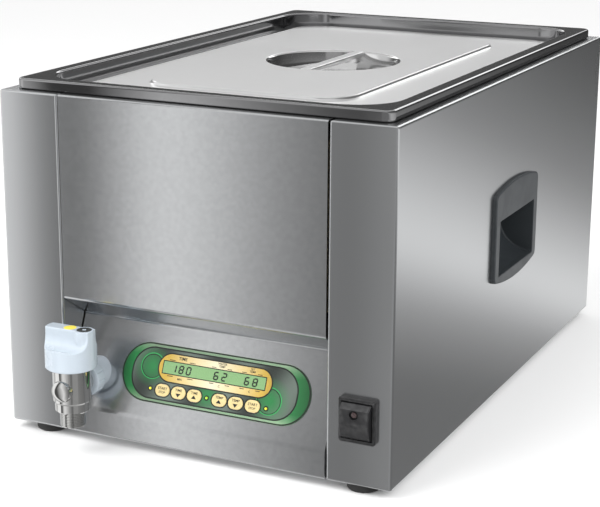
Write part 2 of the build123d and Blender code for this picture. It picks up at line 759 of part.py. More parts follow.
def wire(points, radius, bend):
    """An insulated lead: straight runs with round bends."""
    path = FilletPolyline(*points, radius=bend)
    start = Vector(*points[0])
    heading = Vector(*points[1]) - start
    section = Plane(origin=start, z_dir=heading) * Circle(radius)
    return sweep(section, path=path)


def heater_leads():
    """Two leads from the relay to the heating mat."""
    leads = []
    for x in (102, 118):
        points = [(x, 165, 40), (x, 165, 70), (x, 215, 70), (x, 215, 94)]
        leads.append(wire(points, 1.5, 12))
    return leads


def mains_leads():
    """Three cores from the gland to the terminals of the power board."""
    leads = []
    for x in (GLAND_X - 3, GLAND_X, GLAND_X + 3):
        points = [(x, 278, GLAND_Z), (x, 230, GLAND_Z), (x, 205, 32), (x, 185, 20), (x, 185, 13.6)]
        leads.append(wire(points, 1.2, 5))
    return leads


def build_controls():
    save("control_overlay", control_overlay())
    save("display_window", display_window())
    save("display_module", display_module())
    names = ("time_start_key", "time_down_key", "time_up_key")
    names += ("heat_up_key", "heat_down_key", "heat_start_key")
    key = control_key()
    for name, u in zip(names, KEY_U):
        save(name, FACE * Pos(u, KEY_V, 0) * key)
    save("indicator_lamps", *indicator_lamps())
    save("control_board", control_board())
    save("board_standoffs", *board_standoffs())
    save("power_board", power_board())
    save("transformer", transformer())
    save("heater_leads", *heater_leads())
    save("mains_leads", *mains_leads())


# ---------------------------------------------------------------- power switch
# Drawn with the switch centre on the origin and the front strip at y = 0.

SWITCH_AT = Pos(SWITCH_X, -HALF_D, SWITCH_Z)
LENS_Z = 7.5
PIN_R = 1.4


def switch_bezel():
    frame = Pos(0, -BEZEL_T / 2, 0) * Box(BEZEL_W, BEZEL_T, BEZEL_H)
    frame = fillet(frame.edges().filter_by(Axis.Y), 3)
    frame = chamfer(frame.faces().sort_by(Axis.Y)[0].edges(), 1)
    frame -= Box(SWITCH_OPEN_W, 20, SWITCH_OPEN_H)
    frame -= Pos(0, -ROCKER_PIVOT, 0) * rod_x(PIN_R + 0.06, -15.6, 15.6)
    return SWITCH_AT * frame


def switch_rocker():
    """Two-faceted rocker cover with a lens well, turning on two side pins."""
    half = ROCKER_H / 2
    outline = [
        (-1, -half),
        (-5.5, -half),
        (-9.5, -half + 2.5),
        (-ROCKER_FRONT, -0.8),
        (-ROCKER_FRONT + 0.8, half - 4),
        (-6.5, half),
        (-1, half),
    ]
    profile = make_face(Polyline(*outline, close=True))
    rocker = UPRIGHT * extrude(profile, ROCKER_W / 2, both=True)
    front = rocker.faces().filter_by(Axis.X).edges().filter_by(lambda e: e.center().Y < -5)
    rocker = fillet(front, 1.2)
    rocker -= Pos(0, 0, LENS_Z) * rod_y(4, -20, -9.5)
    rocker -= Pos(0, 1, 0) * Box(ROCKER_W - 4, 7, ROCKER_H - 4)
    rocker += Pos(0, -ROCKER_PIVOT, 0) * rod_x(PIN_R, -15.4, 15.4)
    return SWITCH_AT * rocker


def pilot_lens():
    lens = rod_y(2.4, -10.6, -9.5)
    return SWITCH_AT * Pos(0, 0, LENS_Z) * lens


def switch_housing():
    """Switch body behind the strip, with its terminals."""
    body = block(-13, 13, 5, 26, -15, 15)
    body += block(-16, 16, SHEET, 5, -19, 19) - block(-14.2, 14.2, 0, 4.5, -16.7, 16.7)
    for x in (-7, 7):
        for z in (-9, 9):
            body += Pos(x, 29, z) * Box(1, 8, 6)
    return SWITCH_AT * body


def build_switch():
    save("switch_bezel", switch_bezel())
    save("switch_rocker", switch_rocker())
    save("pilot_lens", pilot_lens())
    save("switch_housing", switch_housing())


# ---------------------------------------------------------------- cable gland
# Drawn with the gland axis on Y and the rear panel's outer face at y = 0.

GLAND_AT = Pos(GLAND_X, HALF_D, GLAND_Z)


def gland_body():
    body = hexagon_y(22, 0, 6) + rod_y(8, -14, 0) + rod_y(9, 6, 16)
    return GLAND_AT * (body - rod_y(6, -20, 20))


def gland_nut():
    """Domed nut that squeezes the seal."""
    nut = hexagon_y(22, 7, GLAND_REACH) & rod_y(12.2, 7, GLAND_REACH)
    dome = rod_y(11.6, 7, GLAND_REACH)
    dome = fillet(dome.edges().sort_by(Axis.Y)[-1], 5)
    nut = (nut & block(-20, 20, 0, 17, -20, 20)) + (dome & block(-20, 20, 16, 40, -20, 20))
    return GLAND_AT * (nut - rod_y(9, 5, 16.5) - rod_y(6, 0, 40))


def gland_seal():
    return GLAND_AT * (rod_y(6, 2, GLAND_REACH - 1) - rod_y(GLAND_BORE_R, 0, 40))


def gland_lock_nut():
    return GLAND_AT * (hexagon_y(22, -7, -2 * SHEET) - rod_y(8, -20, 0))


def build_gland():
    save("gland_body", gland_body())
    save("gland_nut", gland_nut())
    save("gland_seal", gland_seal())
    save("gland_lock_nut", gland_lock_nut())


build_casing()
build_handles()
build_tank()
build_valve()
build_controls()
build_switch()
build_gland()
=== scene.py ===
from math import cos, pi, radians, sin

import bmesh
import bpy
from bpy.props import FloatProperty, FloatVectorProperty, IntProperty, PointerProperty
from mathutils import Matrix, Vector


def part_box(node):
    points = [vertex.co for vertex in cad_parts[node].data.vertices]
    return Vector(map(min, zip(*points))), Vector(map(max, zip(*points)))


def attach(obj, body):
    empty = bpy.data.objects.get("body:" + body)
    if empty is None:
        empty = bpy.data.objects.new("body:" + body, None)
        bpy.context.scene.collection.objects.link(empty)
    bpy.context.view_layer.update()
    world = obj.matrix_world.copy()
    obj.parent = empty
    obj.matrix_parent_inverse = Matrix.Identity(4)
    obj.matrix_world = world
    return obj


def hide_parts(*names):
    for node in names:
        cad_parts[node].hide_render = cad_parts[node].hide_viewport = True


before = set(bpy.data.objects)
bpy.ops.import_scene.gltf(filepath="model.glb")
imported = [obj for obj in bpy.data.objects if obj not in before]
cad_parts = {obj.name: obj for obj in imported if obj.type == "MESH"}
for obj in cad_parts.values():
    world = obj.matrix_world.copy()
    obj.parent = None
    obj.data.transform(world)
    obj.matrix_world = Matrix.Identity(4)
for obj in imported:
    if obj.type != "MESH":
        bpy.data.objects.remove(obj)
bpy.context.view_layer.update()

bl_info = {
    "name": "Sous Vide Water Bath",
    "version": (1, 0, 0),
    "blender": (4, 5, 0),
    "location": "View3D > Sidebar > Water Bath",
    "description": "Builds the visible pieces and finishes of a counter-top sous vide water bath",
    "category": "Object",
}

# Pieces are drawn in millimetres from the casing's datum: x = 0 and y = 0 in the middle
# of the casing, z = 0 at its lower edge. CASING takes them to the frame's metres.
MM = 0.001
SHELL_LOW, SHELL_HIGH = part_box("right_side_shell")
CASING = Matrix.Translation((0, (SHELL_LOW.y + SHELL_HIGH.y) / 2, SHELL_LOW.z)) @ Matrix.Scale(MM, 4)
HALF_W = SHELL_HIGH.x / MM
HALF_D = (SHELL_HIGH.y - SHELL_LOW.y) / MM / 2
CASE_H = (SHELL_HIGH.z - SHELL_LOW.z) / MM
SEAM_X = SHELL_LOW.x / MM

# Folded edges of the side shells, and where their flanges end.
REAR_STRIP_X = 165.0
DECK_X = 167.5
DECK_Y = 270.0
BOTTOM_X = 140.0
BOTTOM_Y = 245.0
UPPER_CHEEK_Z = 136.0
CHEEK_EXTRA = 2.0
FAR = 1000.0
WIDE = (-FAR, FAR)


def around(level):
    """A thin span round one level, which catches the faces that lie on it."""
    return (level - 1, level + 1)


# Holes in the side shell as spans in x, y and z.
POCKET = (around(HALF_W), (-46, 62), (120, 183))
SWITCH_HOLE = ((145.8, 174.2), around(-HALF_D), (43.3, 76.7))

# The control face leans back by SLOPE_RUN over SLOPE_RISE. Its own axes are u across,
# v up the slope and w outwards, with their zero at the slope's foot.
SLOPE_FOOT_Z = 25.0
SLOPE_RUN = 35.0
SLOPE_RISE = 79.0


def face_matrix():
    """From the control face's own axes to the frame's metres."""
    up = Vector((0, SLOPE_RUN, SLOPE_RISE)).normalized()
    across = Vector((1, 0, 0))
    out = across.cross(up)
    axes = Matrix((across, up, out)).transposed().to_4x4()
    return CASING @ Matrix.Translation((0, -HALF_D, SLOPE_FOOT_Z)) @ axes


FACE = face_matrix()

# Centres and half sizes on the control face. Glows and glow rings are (u, v, radius).
OVERLAY_U = 14.5
OVERLAY_V = 41.7
OVERLAY_HALF_U = 93.5
OVERLAY_HALF_V = 26.75
OVERLAY_T = 0.8
FIELD_U = 13.5
FIELD_V = 41.6
DISPLAY_U = 12.7
DISPLAY_V = 48.3
GLOWS = ((-49.0, 47.5, 11.5), (10.0, 30.0, 10.0), (70.0, 34.5, 12.5))
GLOW_RINGS = ((-49.0, 47.5, 11.8), (69.6, 34.3, 12.3))
KEY_L = 14.4
KEY_H = 10.8
KEY_TOP = 1.3
KEY_U = (-34.9, -18.6, -2.6, 22.3, 38.5, 55.1)
KEY_V = 27.5
KEY_NODES = (
    "time_start_key",
    "time_down_key",
    "time_up_key",
    "heat_up_key",
    "heat_down_key",
    "heat_start_key",
)
KEY_LABELS = ("START", "DOWN", "UP", "UP", "DOWN", "START")
LAMP_U = (-47.3, 9.8, 68.2)
LAMP_R = 1.35

# Levels of the tank and the lid, and the radius of the lid's dish.
RIM_FOOT_Z = 311
RIM_Z = 319.5
SEAT_Z = 300
TANK_FLOOR_Z = 105
LID_EDGE_Z = 301.2
LID_STEP_Z = 307.2
LID_TOP_Z = 310.2
DISH_FOOT_Z = 294.0
DISH_FLOOR_Z = 290.2
DISH_R = 66.5

# The side handles: the plate stands out by HANDLE_PROUD, and the pocket is sunk behind it.
HANDLE_Y = 8.0
HANDLE_PROUD = 4.0
POCKET_DEPTH = 35

# The valve's upright axis, and the height of its cross axis.
VALVE_X = -104.0
VALVE_Y = -321.5
VALVE_Z = 56.0
TO_FRONT = Matrix.Rotation(radians(90), 4, "X")
TO_BACK = Matrix.Rotation(radians(-90), 4, "X")
TO_SIDE = Matrix.Rotation(radians(90), 4, "Y")
MIRRORED = Matrix.Scale(-1, 4, (1, 0, 0))


# ------------------------------------------------------------------ settings


def length(name, text, value):
    return FloatProperty(name=name, description=text, default=value, unit="NONE", min=0)


def colour(name, text, value):
    limits = {"size": 3, "min": 0, "max": 1}
    return FloatVectorProperty(name=name, description=text, default=value, subtype="COLOR", **limits)


def turn_angle(name, text, degrees):
    return FloatProperty(name=name, description=text, default=radians(degrees), unit="ROTATION")


class CasingSettings(bpy.types.PropertyGroup):
    sheet: length("Sheet", "Thickness of the folded sheet in mm", 1.2)
    bend: length("Bend", "Outer radius of the folds in mm", 2.4)
    seam_gap: length("Seam gap", "Gap between the front panel and a side shell in mm", 1.0)
    recess_top: length("Recess top", "Height of the lower edge of the upper panel in mm", 126)
    crease_height: length("Crease height", "Height of the recess's crease in mm", SLOPE_FOOT_Z + SLOPE_RISE)
    crease_depth: length("Crease depth", "Depth of the recess's crease in mm", SLOPE_RUN)
    slope_foot: length("Slope foot", "Height where the control face meets the front in mm", SLOPE_FOOT_Z)
    flange: length("Flange", "Depth of the front panel's folded flanges in mm", 18)
    steel: colour("Steel", "Colour of the brushed casing", (0.60, 0.61, 0.62))


class TankSettings(bpy.types.PropertyGroup):
    sheet: length("Sheet", "Thickness of the tank wall in mm", 1.2)
    lid_sheet: length("Lid sheet", "Thickness of the lid in mm", 1.0)
    corner_steps: IntProperty(name="Corner steps", description="Steps round a corner", default=12, min=3)
    steel: colour("Steel", "Colour of the satin lid", (0.86, 0.86, 0.86))
    tank_steel: colour("Tank steel", "Colour of the polished tank", (0.32, 0.32, 0.325))


class ValveSettings(bpy.types.PropertyGroup):
    steps: IntProperty(name="Steps", description="Steps round a turned piece", default=64, min=12)
    plastic: colour("Cap", "Colour of the cap", (0.47, 0.53, 0.59))
    marker: colour("Marker", "Colour of the round marker", (0.93, 0.76, 0.09))


class ControlSettings(bpy.types.PropertyGroup):
    print_step: length("Print step", "Height of one printed layer in mm", 0.05)
    green: colour("Green", "Saturated green of the overlay", (0.012, 0.135, 0.035))
    pale: colour("Pale green", "Pale bands of the overlay", (0.20, 0.31, 0.19))
    field: colour("Field", "Grey green of the inner field", (0.07, 0.09, 0.075))
    gold: colour("Gold", "Gold of the display frame", (0.50, 0.33, 0.045))
    cream: colour("Cream", "Cream of the keys", (0.70, 0.56, 0.26))
    display: colour("Display", "Background of the display", (0.20, 0.36, 0.155))


class PlasticSettings(bpy.types.PropertyGroup):
    handle: colour("Handle", "Colour of the side handles", (0.029, 0.034, 0.038))
    black: colour("Black", "Colour of the switch and the gland", (0.012, 0.012, 0.013))


class StudioSettings(bpy.types.PropertyGroup):
    camera_place: FloatVectorProperty(
        name="Camera place", description="Place from the casing's datum in mm", default=(660.6, -1454, 551.7)
    )
    azimuth: turn_angle("Azimuth", "Heading of the view", 25.57)
    elevation: turn_angle("Elevation", "Height from which the view looks down", 15.42)
    roll: turn_angle("Roll", "Lean of the view", 0.35)
    lens: FloatProperty(name="Lens", description="Focal length in mm", default=97.3)
    floor: colour("Floor", "Colour of the floor", (0.90, 0.90, 0.90))


class WaterBathSettings(bpy.types.PropertyGroup):
    casing: PointerProperty(type=CasingSettings)
    tank: PointerProperty(type=TankSettings)
    valve: PointerProperty(type=ValveSettings)
    control: PointerProperty(type=ControlSettings)
    plastic: PointerProperty(type=PlasticSettings)
    studio: PointerProperty(type=StudioSettings)


# ------------------------------------------------------------------ shader nodes


def add(tree, kind, inputs=None, **settings):
    """One node, with its settings, and its inputs set or linked."""
    made = tree.nodes.new(kind)
    for key, value in settings.items():
        setattr(made, key, value)
    for key, value in (inputs or {}).items():
        if isinstance(value, bpy.types.NodeSocket):
            tree.links.new(value, made.inputs[key])
        else:
            made.inputs[key].default_value = value
    return made


def ramp(tree, fac, stops):
    """A colour ramp through the given (position, colour or grey) stops."""
    made = add(tree, "ShaderNodeValToRGB", {"Fac": fac})
    elements = made.color_ramp.elements
    while len(elements) < len(stops):
        elements.new(0.5)
    for element, (place, shade) in zip(elements, stops):
        element.position = place
        shade = (shade,) * 3 if isinstance(shade, (int, float)) else shade
        element.color = (*shade, 1)
    return made.outputs["Color"]


def remap(tree, value, low, high, to_low=0.0, to_high=1.0):
    """Map Range from one span to another, clamped."""
    span = {"Value": value, "From Min": low, "From Max": high, "To Min": to_low, "To Max": to_high}
    return add(tree, "ShaderNodeMapRange", span).outputs["Result"]


def mix(tree, fac, first, second, blend="MIX"):
    """A colour mix of two colours or sockets."""
    made = add(tree, "ShaderNodeMix", data_type="RGBA", blend_type=blend)
    for index, value in ((0, fac), (6, first), (7, second)):
        socket = made.inputs[index]
        if isinstance(value, bpy.types.NodeSocket):
            tree.links.new(value, socket)
        else:
            socket.default_value = value if index == 0 else (*value, 1)
    return made.outputs[2]


def math(tree, operation, first, second):
    return add(tree, "ShaderNodeMath", {0: first, 1: second}, operation=operation).outputs[0]


def new_group(name, inputs, outputs):
    """An empty shader group with its sockets: (name, socket type, default)."""
    tree = bpy.data.node_groups.new(name, "ShaderNodeTree")
    for title, kind, value in inputs:
        socket = tree.interface.new_socket(title, in_out="INPUT", socket_type=kind)
        socket.default_value = value
    for title in outputs:
        tree.interface.new_socket(title, in_out="OUTPUT", socket_type="NodeSocketFloat")
    entry = tree.nodes.new("NodeGroupInput")
    leave = tree.nodes.new("NodeGroupOutput")
    return tree, entry.outputs, leave.inputs


def grain_group():
    """Brush lines: a noise drawn out along the brushing."""
    name = "Brushed Grain"
    if name in bpy.data.node_groups:
        return bpy.data.node_groups[name]
    stretch = ("Stretch", "NodeSocketVector", (6.0, 6.0, 900.0))
    tree, given, out = new_group(name, [stretch], ["Lines"])
    place = add(tree, "ShaderNodeTexCoord").outputs["Object"]
    drawn = add(tree, "ShaderNodeVectorMath", {0: place, 1: given["Stretch"]}, operation="MULTIPLY")
    settings = {"Vector": drawn.outputs[0], "Scale": 1.0, "Detail": 3.0, "Roughness": 0.7}
    lines = add(tree, "ShaderNodeTexNoise", settings)
    tree.links.new(lines.outputs["Fac"], out["Lines"])
    return tree


def smudge_group():
    """Soft cloudy marks, as wiping leaves on metal and plastic."""
    name = "Soft Smudges"
    if name in bpy.data.node_groups:
        return bpy.data.node_groups[name]
    scale = ("Scale", "NodeSocketFloat", 14.0)
    cover = ("Cover", "NodeSocketFloat", 0.5)
    tree, given, out = new_group(name, [scale, cover], ["Mask"])
    place = add(tree, "ShaderNodeTexCoord").outputs["Object"]
    settings = {"Vector": place, "Scale": given["Scale"], "Detail": 5.0, "Roughness": 0.6, "Distortion": 0.6}
    cloud = add(tree, "ShaderNodeTexNoise", settings)
    low = math(tree, "SUBTRACT", 0.85, given["Cover"])
    high = math(tree, "ADD", low, 0.3)
    mask = remap(tree, cloud.outputs["Fac"], low, high)
    tree.links.new(mask, out["Mask"])
    return tree


def wear_group():
    """Edge wear: picks out convex edges, broken up by a fine noise."""
    name = "Edge Wear"
    if name in bpy.data.node_groups:
        return bpy.data.node_groups[name]
    strength = ("Strength", "NodeSocketFloat", 1.0)
    tree, given, out = new_group(name, [strength], ["Mask"])
    pointed = add(tree, "ShaderNodeNewGeometry").outputs["Pointiness"]
    edge = remap(tree, pointed, 0.52, 0.62)
    place = add(tree, "ShaderNodeTexCoord").outputs["Object"]
    broken = add(tree, "ShaderNodeTexNoise", {"Vector": place, "Scale": 220.0, "Detail": 4.0})
    spots = remap(tree, broken.outputs["Fac"], 0.35, 0.65, 0.2, 1.0)
    worn = math(tree, "MULTIPLY", math(tree, "MULTIPLY", edge, spots), given["Strength"])
    tree.links.new(worn, out["Mask"])
    return tree


def texture_group():
    """Spark-eroded plastic: closely packed soft pits."""
    name = "Moulded Texture"
    if name in bpy.data.node_groups:
        return bpy.data.node_groups[name]
    scale = ("Scale", "NodeSocketFloat", 1500.0)
    tree, given, out = new_group(name, [scale], ["Height"])
    place = add(tree, "ShaderNodeTexCoord").outputs["Object"]
    pits = add(tree, "ShaderNodeTexNoise", {"Vector": place, "Scale": given["Scale"], "Detail": 2.0})
    cells = add(tree, "ShaderNodeTexVoronoi", {"Vector": place, "Scale": given["Scale"]})
    height = math(tree, "ADD", pits.outputs["Fac"], math(tree, "MULTIPLY", cells.outputs["Distance"], 0.4))
    tree.links.new(height, out["Height"])
    return tree


def place_group(tree, group, **inputs):
    made = tree.nodes.new("ShaderNodeGroup")
    made.node_tree = group
    for key, value in inputs.items():
        made.inputs[key].default_value = value
    return made.outputs


def start_material(name, **constants):
    """A material with its Principled BSDF; constants go on the shader's own sockets."""
    made = bpy.data.materials.new(name)
    made.use_nodes = True
    shader = made.node_tree.nodes["Principled BSDF"]
    for key, value in constants.items():
        socket = shader.inputs[key.replace("_", " ")]
        socket.default_value = (*value, 1) if isinstance(value, tuple) and len(value) == 3 else value
    return made, made.node_tree, shader


def link(tree, source, shader, socket):
    tree.links.new(source, shader.inputs[socket])


def bump(tree, shader, height, distance, strength=1.0):
    made = add(tree, "ShaderNodeBump", {"Height": height, "Distance": distance, "Strength": strength})
    link(tree, made.outputs["Normal"], shader, "Normal")


def dim(shade, factor):
    return tuple(min(channel * factor, 1.0) for channel in shade)


# ------------------------------------------------------------------ finishes


def brushed_steel(name, shade, stretch, rough):
    """Brushed sheet: brush lines in colour, gloss and relief, and faint wiping marks."""
    made, tree, shader = start_material(name, Metallic=1.0, Anisotropic=0.3)
    grain = place_group(tree, grain_group(), Stretch=stretch)
    smudge = place_group(tree, smudge_group(), Scale=9.0, Cover=0.42)
    wear = place_group(tree, wear_group(), Strength=0.5)
    lines = remap(tree, grain["Lines"], 0.3, 0.7)
    tone = mix(tree, lines, dim(shade, 0.99), dim(shade, 1.01))
    tone = mix(tree, wear["Mask"], tone, dim(shade, 1.15))
    link(tree, tone, shader, "Base Color")
    gloss = remap(tree, grain["Lines"], 0.3, 0.7, rough[0], rough[1])
    marks = math(tree, "MULTIPLY", smudge["Mask"], 0.006)
    link(tree, math(tree, "ADD", gloss, marks), shader, "Roughness")
    facing = add(tree, "ShaderNodeNewGeometry").outputs["Normal"]
    along = add(tree, "ShaderNodeVectorMath", {0: facing, 1: (0, 0.02, 1)}, operation="CROSS_PRODUCT")
    across = add(tree, "ShaderNodeVectorMath", {0: facing, 1: along.outputs[0]}, operation="CROSS_PRODUCT")
    link(tree, across.outputs[0], shader, "Tangent")
    bump(tree, shader, grain["Lines"], 0.000002, 0.1)
    return made


def satin_steel(name, shade, rough):
    """Pressed sheet with a soft all-round satin and small cloudy marks."""
    made, tree, shader = start_material(name, Metallic=1.0)
    grain = place_group(tree, grain_group(), Stretch=(2400.0, 120.0, 2400.0))
    smudge = place_group(tree, smudge_group(), Scale=16.0, Cover=0.45)
    wear = place_group(tree, wear_group(), Strength=0.6)
    tone = mix(tree, smudge["Mask"], shade, dim(shade, 0.985))
    tone = mix(tree, wear["Mask"], tone, dim(shade, 1.2))
    link(tree, tone, shader, "Base Color")
    gloss = remap(tree, grain["Lines"], 0.3, 0.7, rough * 0.96, rough * 1.04)
    marks = math(tree, "MULTIPLY", smudge["Mask"], rough * 0.06)
    link(tree, math(tree, "ADD", gloss, marks), shader, "Roughness")
    bump(tree, shader, grain["Lines"], 0.000001, 0.05)
    return made


def plated_metal(name, shade, rough):
    """Polished plating with faint waviness, water spots and rubbed edges."""
    made, tree, shader = start_material(name, Metallic=1.0)
    smudge = place_group(tree, smudge_group(), Scale=60.0, Cover=0.35)
    wear = place_group(tree, wear_group(), Strength=0.5)
    tone = mix(tree, smudge["Mask"], shade, dim(shade, 0.93))
    tone = mix(tree, wear["Mask"], tone, dim(shade, 1.15))
    link(tree, tone, shader, "Base Color")
    link(tree, remap(tree, smudge["Mask"], 0.0, 1.0, rough, rough + 0.10), shader, "Roughness")
    place = add(tree, "ShaderNodeTexCoord").outputs["Object"]
    wave = add(tree, "ShaderNodeTexNoise", {"Vector": place, "Scale": 90.0, "Detail": 1.0})
    bump(tree, shader, wave.outputs["Fac"], 0.00004, 0.3)
    return made


def moulded_plastic(name, shade, rough, texture=1500.0, relief=0.00002, coat=0.0, wear_strength=0.6):
    """Moulded plastic: fine mould texture, slight colour drift, lighter rubbed edges."""
    made, tree, shader = start_material(name, Coat_Weight=coat, Coat_Roughness=0.12)
    smudge = place_group(tree, smudge_group(), Scale=35.0, Cover=0.45)
    wear = place_group(tree, wear_group(), Strength=wear_strength)
    skin = place_group(tree, texture_group(), Scale=texture)
    tone = mix(tree, smudge["Mask"], shade, dim(shade, 0.92))
    rubbed = tuple(channel * 0.85 + 0.07 for channel in shade)
    tone = mix(tree, wear["Mask"], tone, rubbed)
    link(tree, tone, shader, "Base Color")
    link(tree, remap(tree, smudge["Mask"], 0.0, 1.0, rough, rough + 0.08), shader, "Roughness")
    bump(tree, shader, skin["Height"], relief, 0.5)
    return made


def soft_rubber(name, shade):
    """Matt rubber with a dusty bloom."""
    made, tree, shader = start_material(name)
    smudge = place_group(tree, smudge_group(), Scale=50.0, Cover=0.55)
    skin = place_group(tree, texture_group(), Scale=900.0)
    bloom = tuple(channel + 0.02 for channel in shade)
    link(tree, mix(tree, smudge["Mask"], shade, bloom), shader, "Base Color")
    link(tree, remap(tree, smudge["Mask"], 0.0, 1.0, 0.62, 0.80), shader, "Roughness")
    bump(tree, shader, skin["Height"], 0.00004, 0.5)
    return made


def printed_ink(name, shade, rough=0.38, speckle=0.06):
    """Screen-printed ink under a matt overlay film."""
    made, tree, shader = start_material(name, Coat_Weight=0.25, Coat_Roughness=0.3)
    place = add(tree, "ShaderNodeTexCoord").outputs["Object"]
    dots = add(tree, "ShaderNodeTexNoise", {"Vector": place, "Scale": 1800.0, "Detail": 1.0})
    spread = remap(tree, dots.outputs["Fac"], 0.35, 0.65)
    link(tree, mix(tree, spread, dim(shade, 1 - speckle), dim(shade, 1 + speckle)), shader, "Base Color")
    link(tree, remap(tree, spread, 0.0, 1.0, rough, rough + 0.08), shader, "Roughness")
    return made


def mineral_wool(name, shade):
    """Matted fibres."""
    made, tree, shader = start_material(name, Roughness=0.95, Sheen_Weight=0.4)
    place = add(tree, "ShaderNodeTexCoord").outputs["Object"]
    settings = {"Vector": place, "Scale": 260.0, "Detail": 6.0, "Distortion": 2.5}
    fibre = add(tree, "ShaderNodeTexNoise", settings)
    tone = remap(tree, fibre.outputs["Fac"], 0.3, 0.7)
    link(tree, mix(tree, tone, dim(shade, 0.7), dim(shade, 1.1)), shader, "Base Color")
    bump(tree, shader, fibre.outputs["Fac"], 0.001, 0.8)
    return made


# Every finish by its short name, filled by build_finishes.
FINISHES = {}


def build_finishes(settings):
    """Makes all materials, with the settings' colours."""
    casing, tank, valve = settings.casing, settings.tank, settings.valve
    control, plastic = settings.control, settings.plastic
    steel = tuple(casing.steel)
    lid = tuple(tank.steel)
    FINISHES.update({
        "brushed": brushed_steel("brushed steel", steel, (7.0, 7.0, 2600.0), (0.225, 0.245)),
        "satin": satin_steel("satin steel", lid, 0.29),
        "dish": satin_steel("polished dish", dim(lid, 0.80), 0.12),
        "tank": satin_steel("polished tank steel", tuple(tank.tank_steel), 0.08),
        "bright": plated_metal("bright steel", (0.62, 0.62, 0.62), 0.18),
        "chrome": plated_metal("chrome plate", (0.66, 0.66, 0.65), 0.04),
        "nickel": plated_metal("satin nickel", (0.86, 0.87, 0.87), 0.30),
        "brass": plated_metal("machined brass", (0.72, 0.55, 0.25), 0.22),
        "cap": moulded_plastic("cap plastic", tuple(valve.plastic), 0.22, 700.0, 0.00001, 0.4),
        "marker": moulded_plastic("marker plastic", tuple(valve.marker), 0.3),
        "handle": moulded_plastic("handle plastic", tuple(plastic.handle), 0.38, 1300.0, 0.00004),
        "black": moulded_plastic("black plastic", tuple(plastic.black), 0.28, 1500.0, 0.00002, 0.2),
        "plug": moulded_plastic("plug plastic", (0.03, 0.032, 0.03), 0.35),
        "red": moulded_plastic("pilot lens", (0.025, 0.006, 0.006), 0.15, coat=0.8),
        "lamp": moulded_plastic("lamp lens", (0.86, 0.85, 0.05), 0.2, coat=0.8),
        "lamp_green": moulded_plastic("green lamp lens", (0.50, 0.80, 0.06), 0.2, coat=0.8),
        "seal": moulded_plastic("seal plastic", (0.80, 0.80, 0.78), 0.4),
        "rubber": soft_rubber("rubber", (0.014, 0.014, 0.014)),
        "mat": soft_rubber("silicone mat", (0.35, 0.08, 0.05)),
        "wool": mineral_wool("mineral wool", (0.62, 0.55, 0.34)),
        "board": moulded_plastic("solder resist", (0.02, 0.13, 0.05), 0.35),
        "dark_steel": plated_metal("varnished steel", (0.12, 0.12, 0.13), 0.4),
        "lead": moulded_plastic("lead insulation", (0.45, 0.04, 0.03), 0.45),
        "ink": printed_ink("black ink", (0.012, 0.014, 0.012)),
        "green": overlay_green_painted_sheen(tuple(control.green), tuple(control.pale)),
        "field": overlay_field(tuple(control.field), tuple(control.green)),
        "gold": gold_print_painted_highlight(tuple(control.gold)),
        "cream": key_print(tuple(control.cream)),
        "display": printed_ink("display ground", tuple(control.display), 0.12, 0.03),
        "glow": printed_ink("glow ring", (0.02, 0.33, 0.08)),
    })


OVERLAY_GLOSS = {"Coat_Weight": 0.35, "Coat_Roughness": 0.25, "Roughness": 0.35}


def face_coordinates(tree):
    """u across and v up the control face, in millimetres, from the Object coordinates."""
    place = add(tree, "ShaderNodeTexCoord").outputs["Object"]
    turn = FACE.inverted()
    steps = {"Location": turn.translation, "Rotation": turn.to_euler("XYZ"), "Scale": turn.to_scale()}
    laid = add(tree, "ShaderNodeMapping", {"Vector": place, **steps}, vector_type="POINT")
    parts = add(tree, "ShaderNodeSeparateXYZ", {"Vector": laid.outputs["Vector"]})
    return parts.outputs["X"], parts.outputs["Y"]


def overlay_green_painted_sheen(green, pale):
    """Overlay ground: pale bands at top and bottom, deep green towards both ends, with a painted sheen over
    it: painted highlights near both ends and painted shade at the very ends.
    """
    made, tree, shader = start_material("overlay green with painted sheen", **OVERLAY_GLOSS)
    u, v = face_coordinates(tree)
    from_middle = math(tree, "ABSOLUTE", math(tree, "SUBTRACT", v, OVERLAY_V), 0.0)
    band = remap(tree, from_middle, 15.0, 25.0)
    from_centre = math(tree, "ABSOLUTE", math(tree, "SUBTRACT", u, OVERLAY_U), 0.0)
    inner = remap(tree, from_centre, 90.0, 66.0)
    ground = mix(tree, math(tree, "MULTIPLY", band, inner), green, pale)
    end = 94
    side = remap(tree, u, OVERLAY_U - end, OVERLAY_U + end)
    # Painted sheen: brightness multiplied into the ground colour, painted highlights near both ends and
    # painted shade at the very ends.
    painted_sheen = ramp(tree, side, [(0.0, 0.55), (0.06, 1.25), (0.16, 0.8), (0.5, 1.0), (0.9, 1.2), (1.0, 0.6)])
    link(tree, mix(tree, 1.0, ground, painted_sheen, "MULTIPLY"), shader, "Base Color")
    return made


def overlay_field(field, green):
    """Inner field: grey green with soft dark slanting streaks and green glows."""
    made, tree, shader = start_material("overlay field", **OVERLAY_GLOSS)
    u, v = face_coordinates(tree)
    slant = math(tree, "ADD", u, math(tree, "MULTIPLY", v, -0.45))
    turn = math(tree, "MULTIPLY", slant, 0.115)
    wave = add(tree, "ShaderNodeMath", {0: turn}, operation="SINE").outputs[0]
    streak = remap(tree, wave, -1.0, 1.0)
    tone = mix(tree, streak, dim(field, 0.35), dim(field, 1.6))
    for glow_u, glow_v, radius in GLOWS:
        du = math(tree, "SUBTRACT", u, glow_u)
        dv = math(tree, "SUBTRACT", v, glow_v)
        away = add(tree, "ShaderNodeCombineXYZ", {"X": du, "Y": dv})
        far = add(tree, "ShaderNodeVectorMath", {0: away.outputs[0]}, operation="LENGTH").outputs["Value"]
        near = remap(tree, far, radius * 1.7, radius * 0.2)
        tone = mix(tree, near, tone, dim(green, 1.3))
    link(tree, tone, shader, "Base Color")
    return made


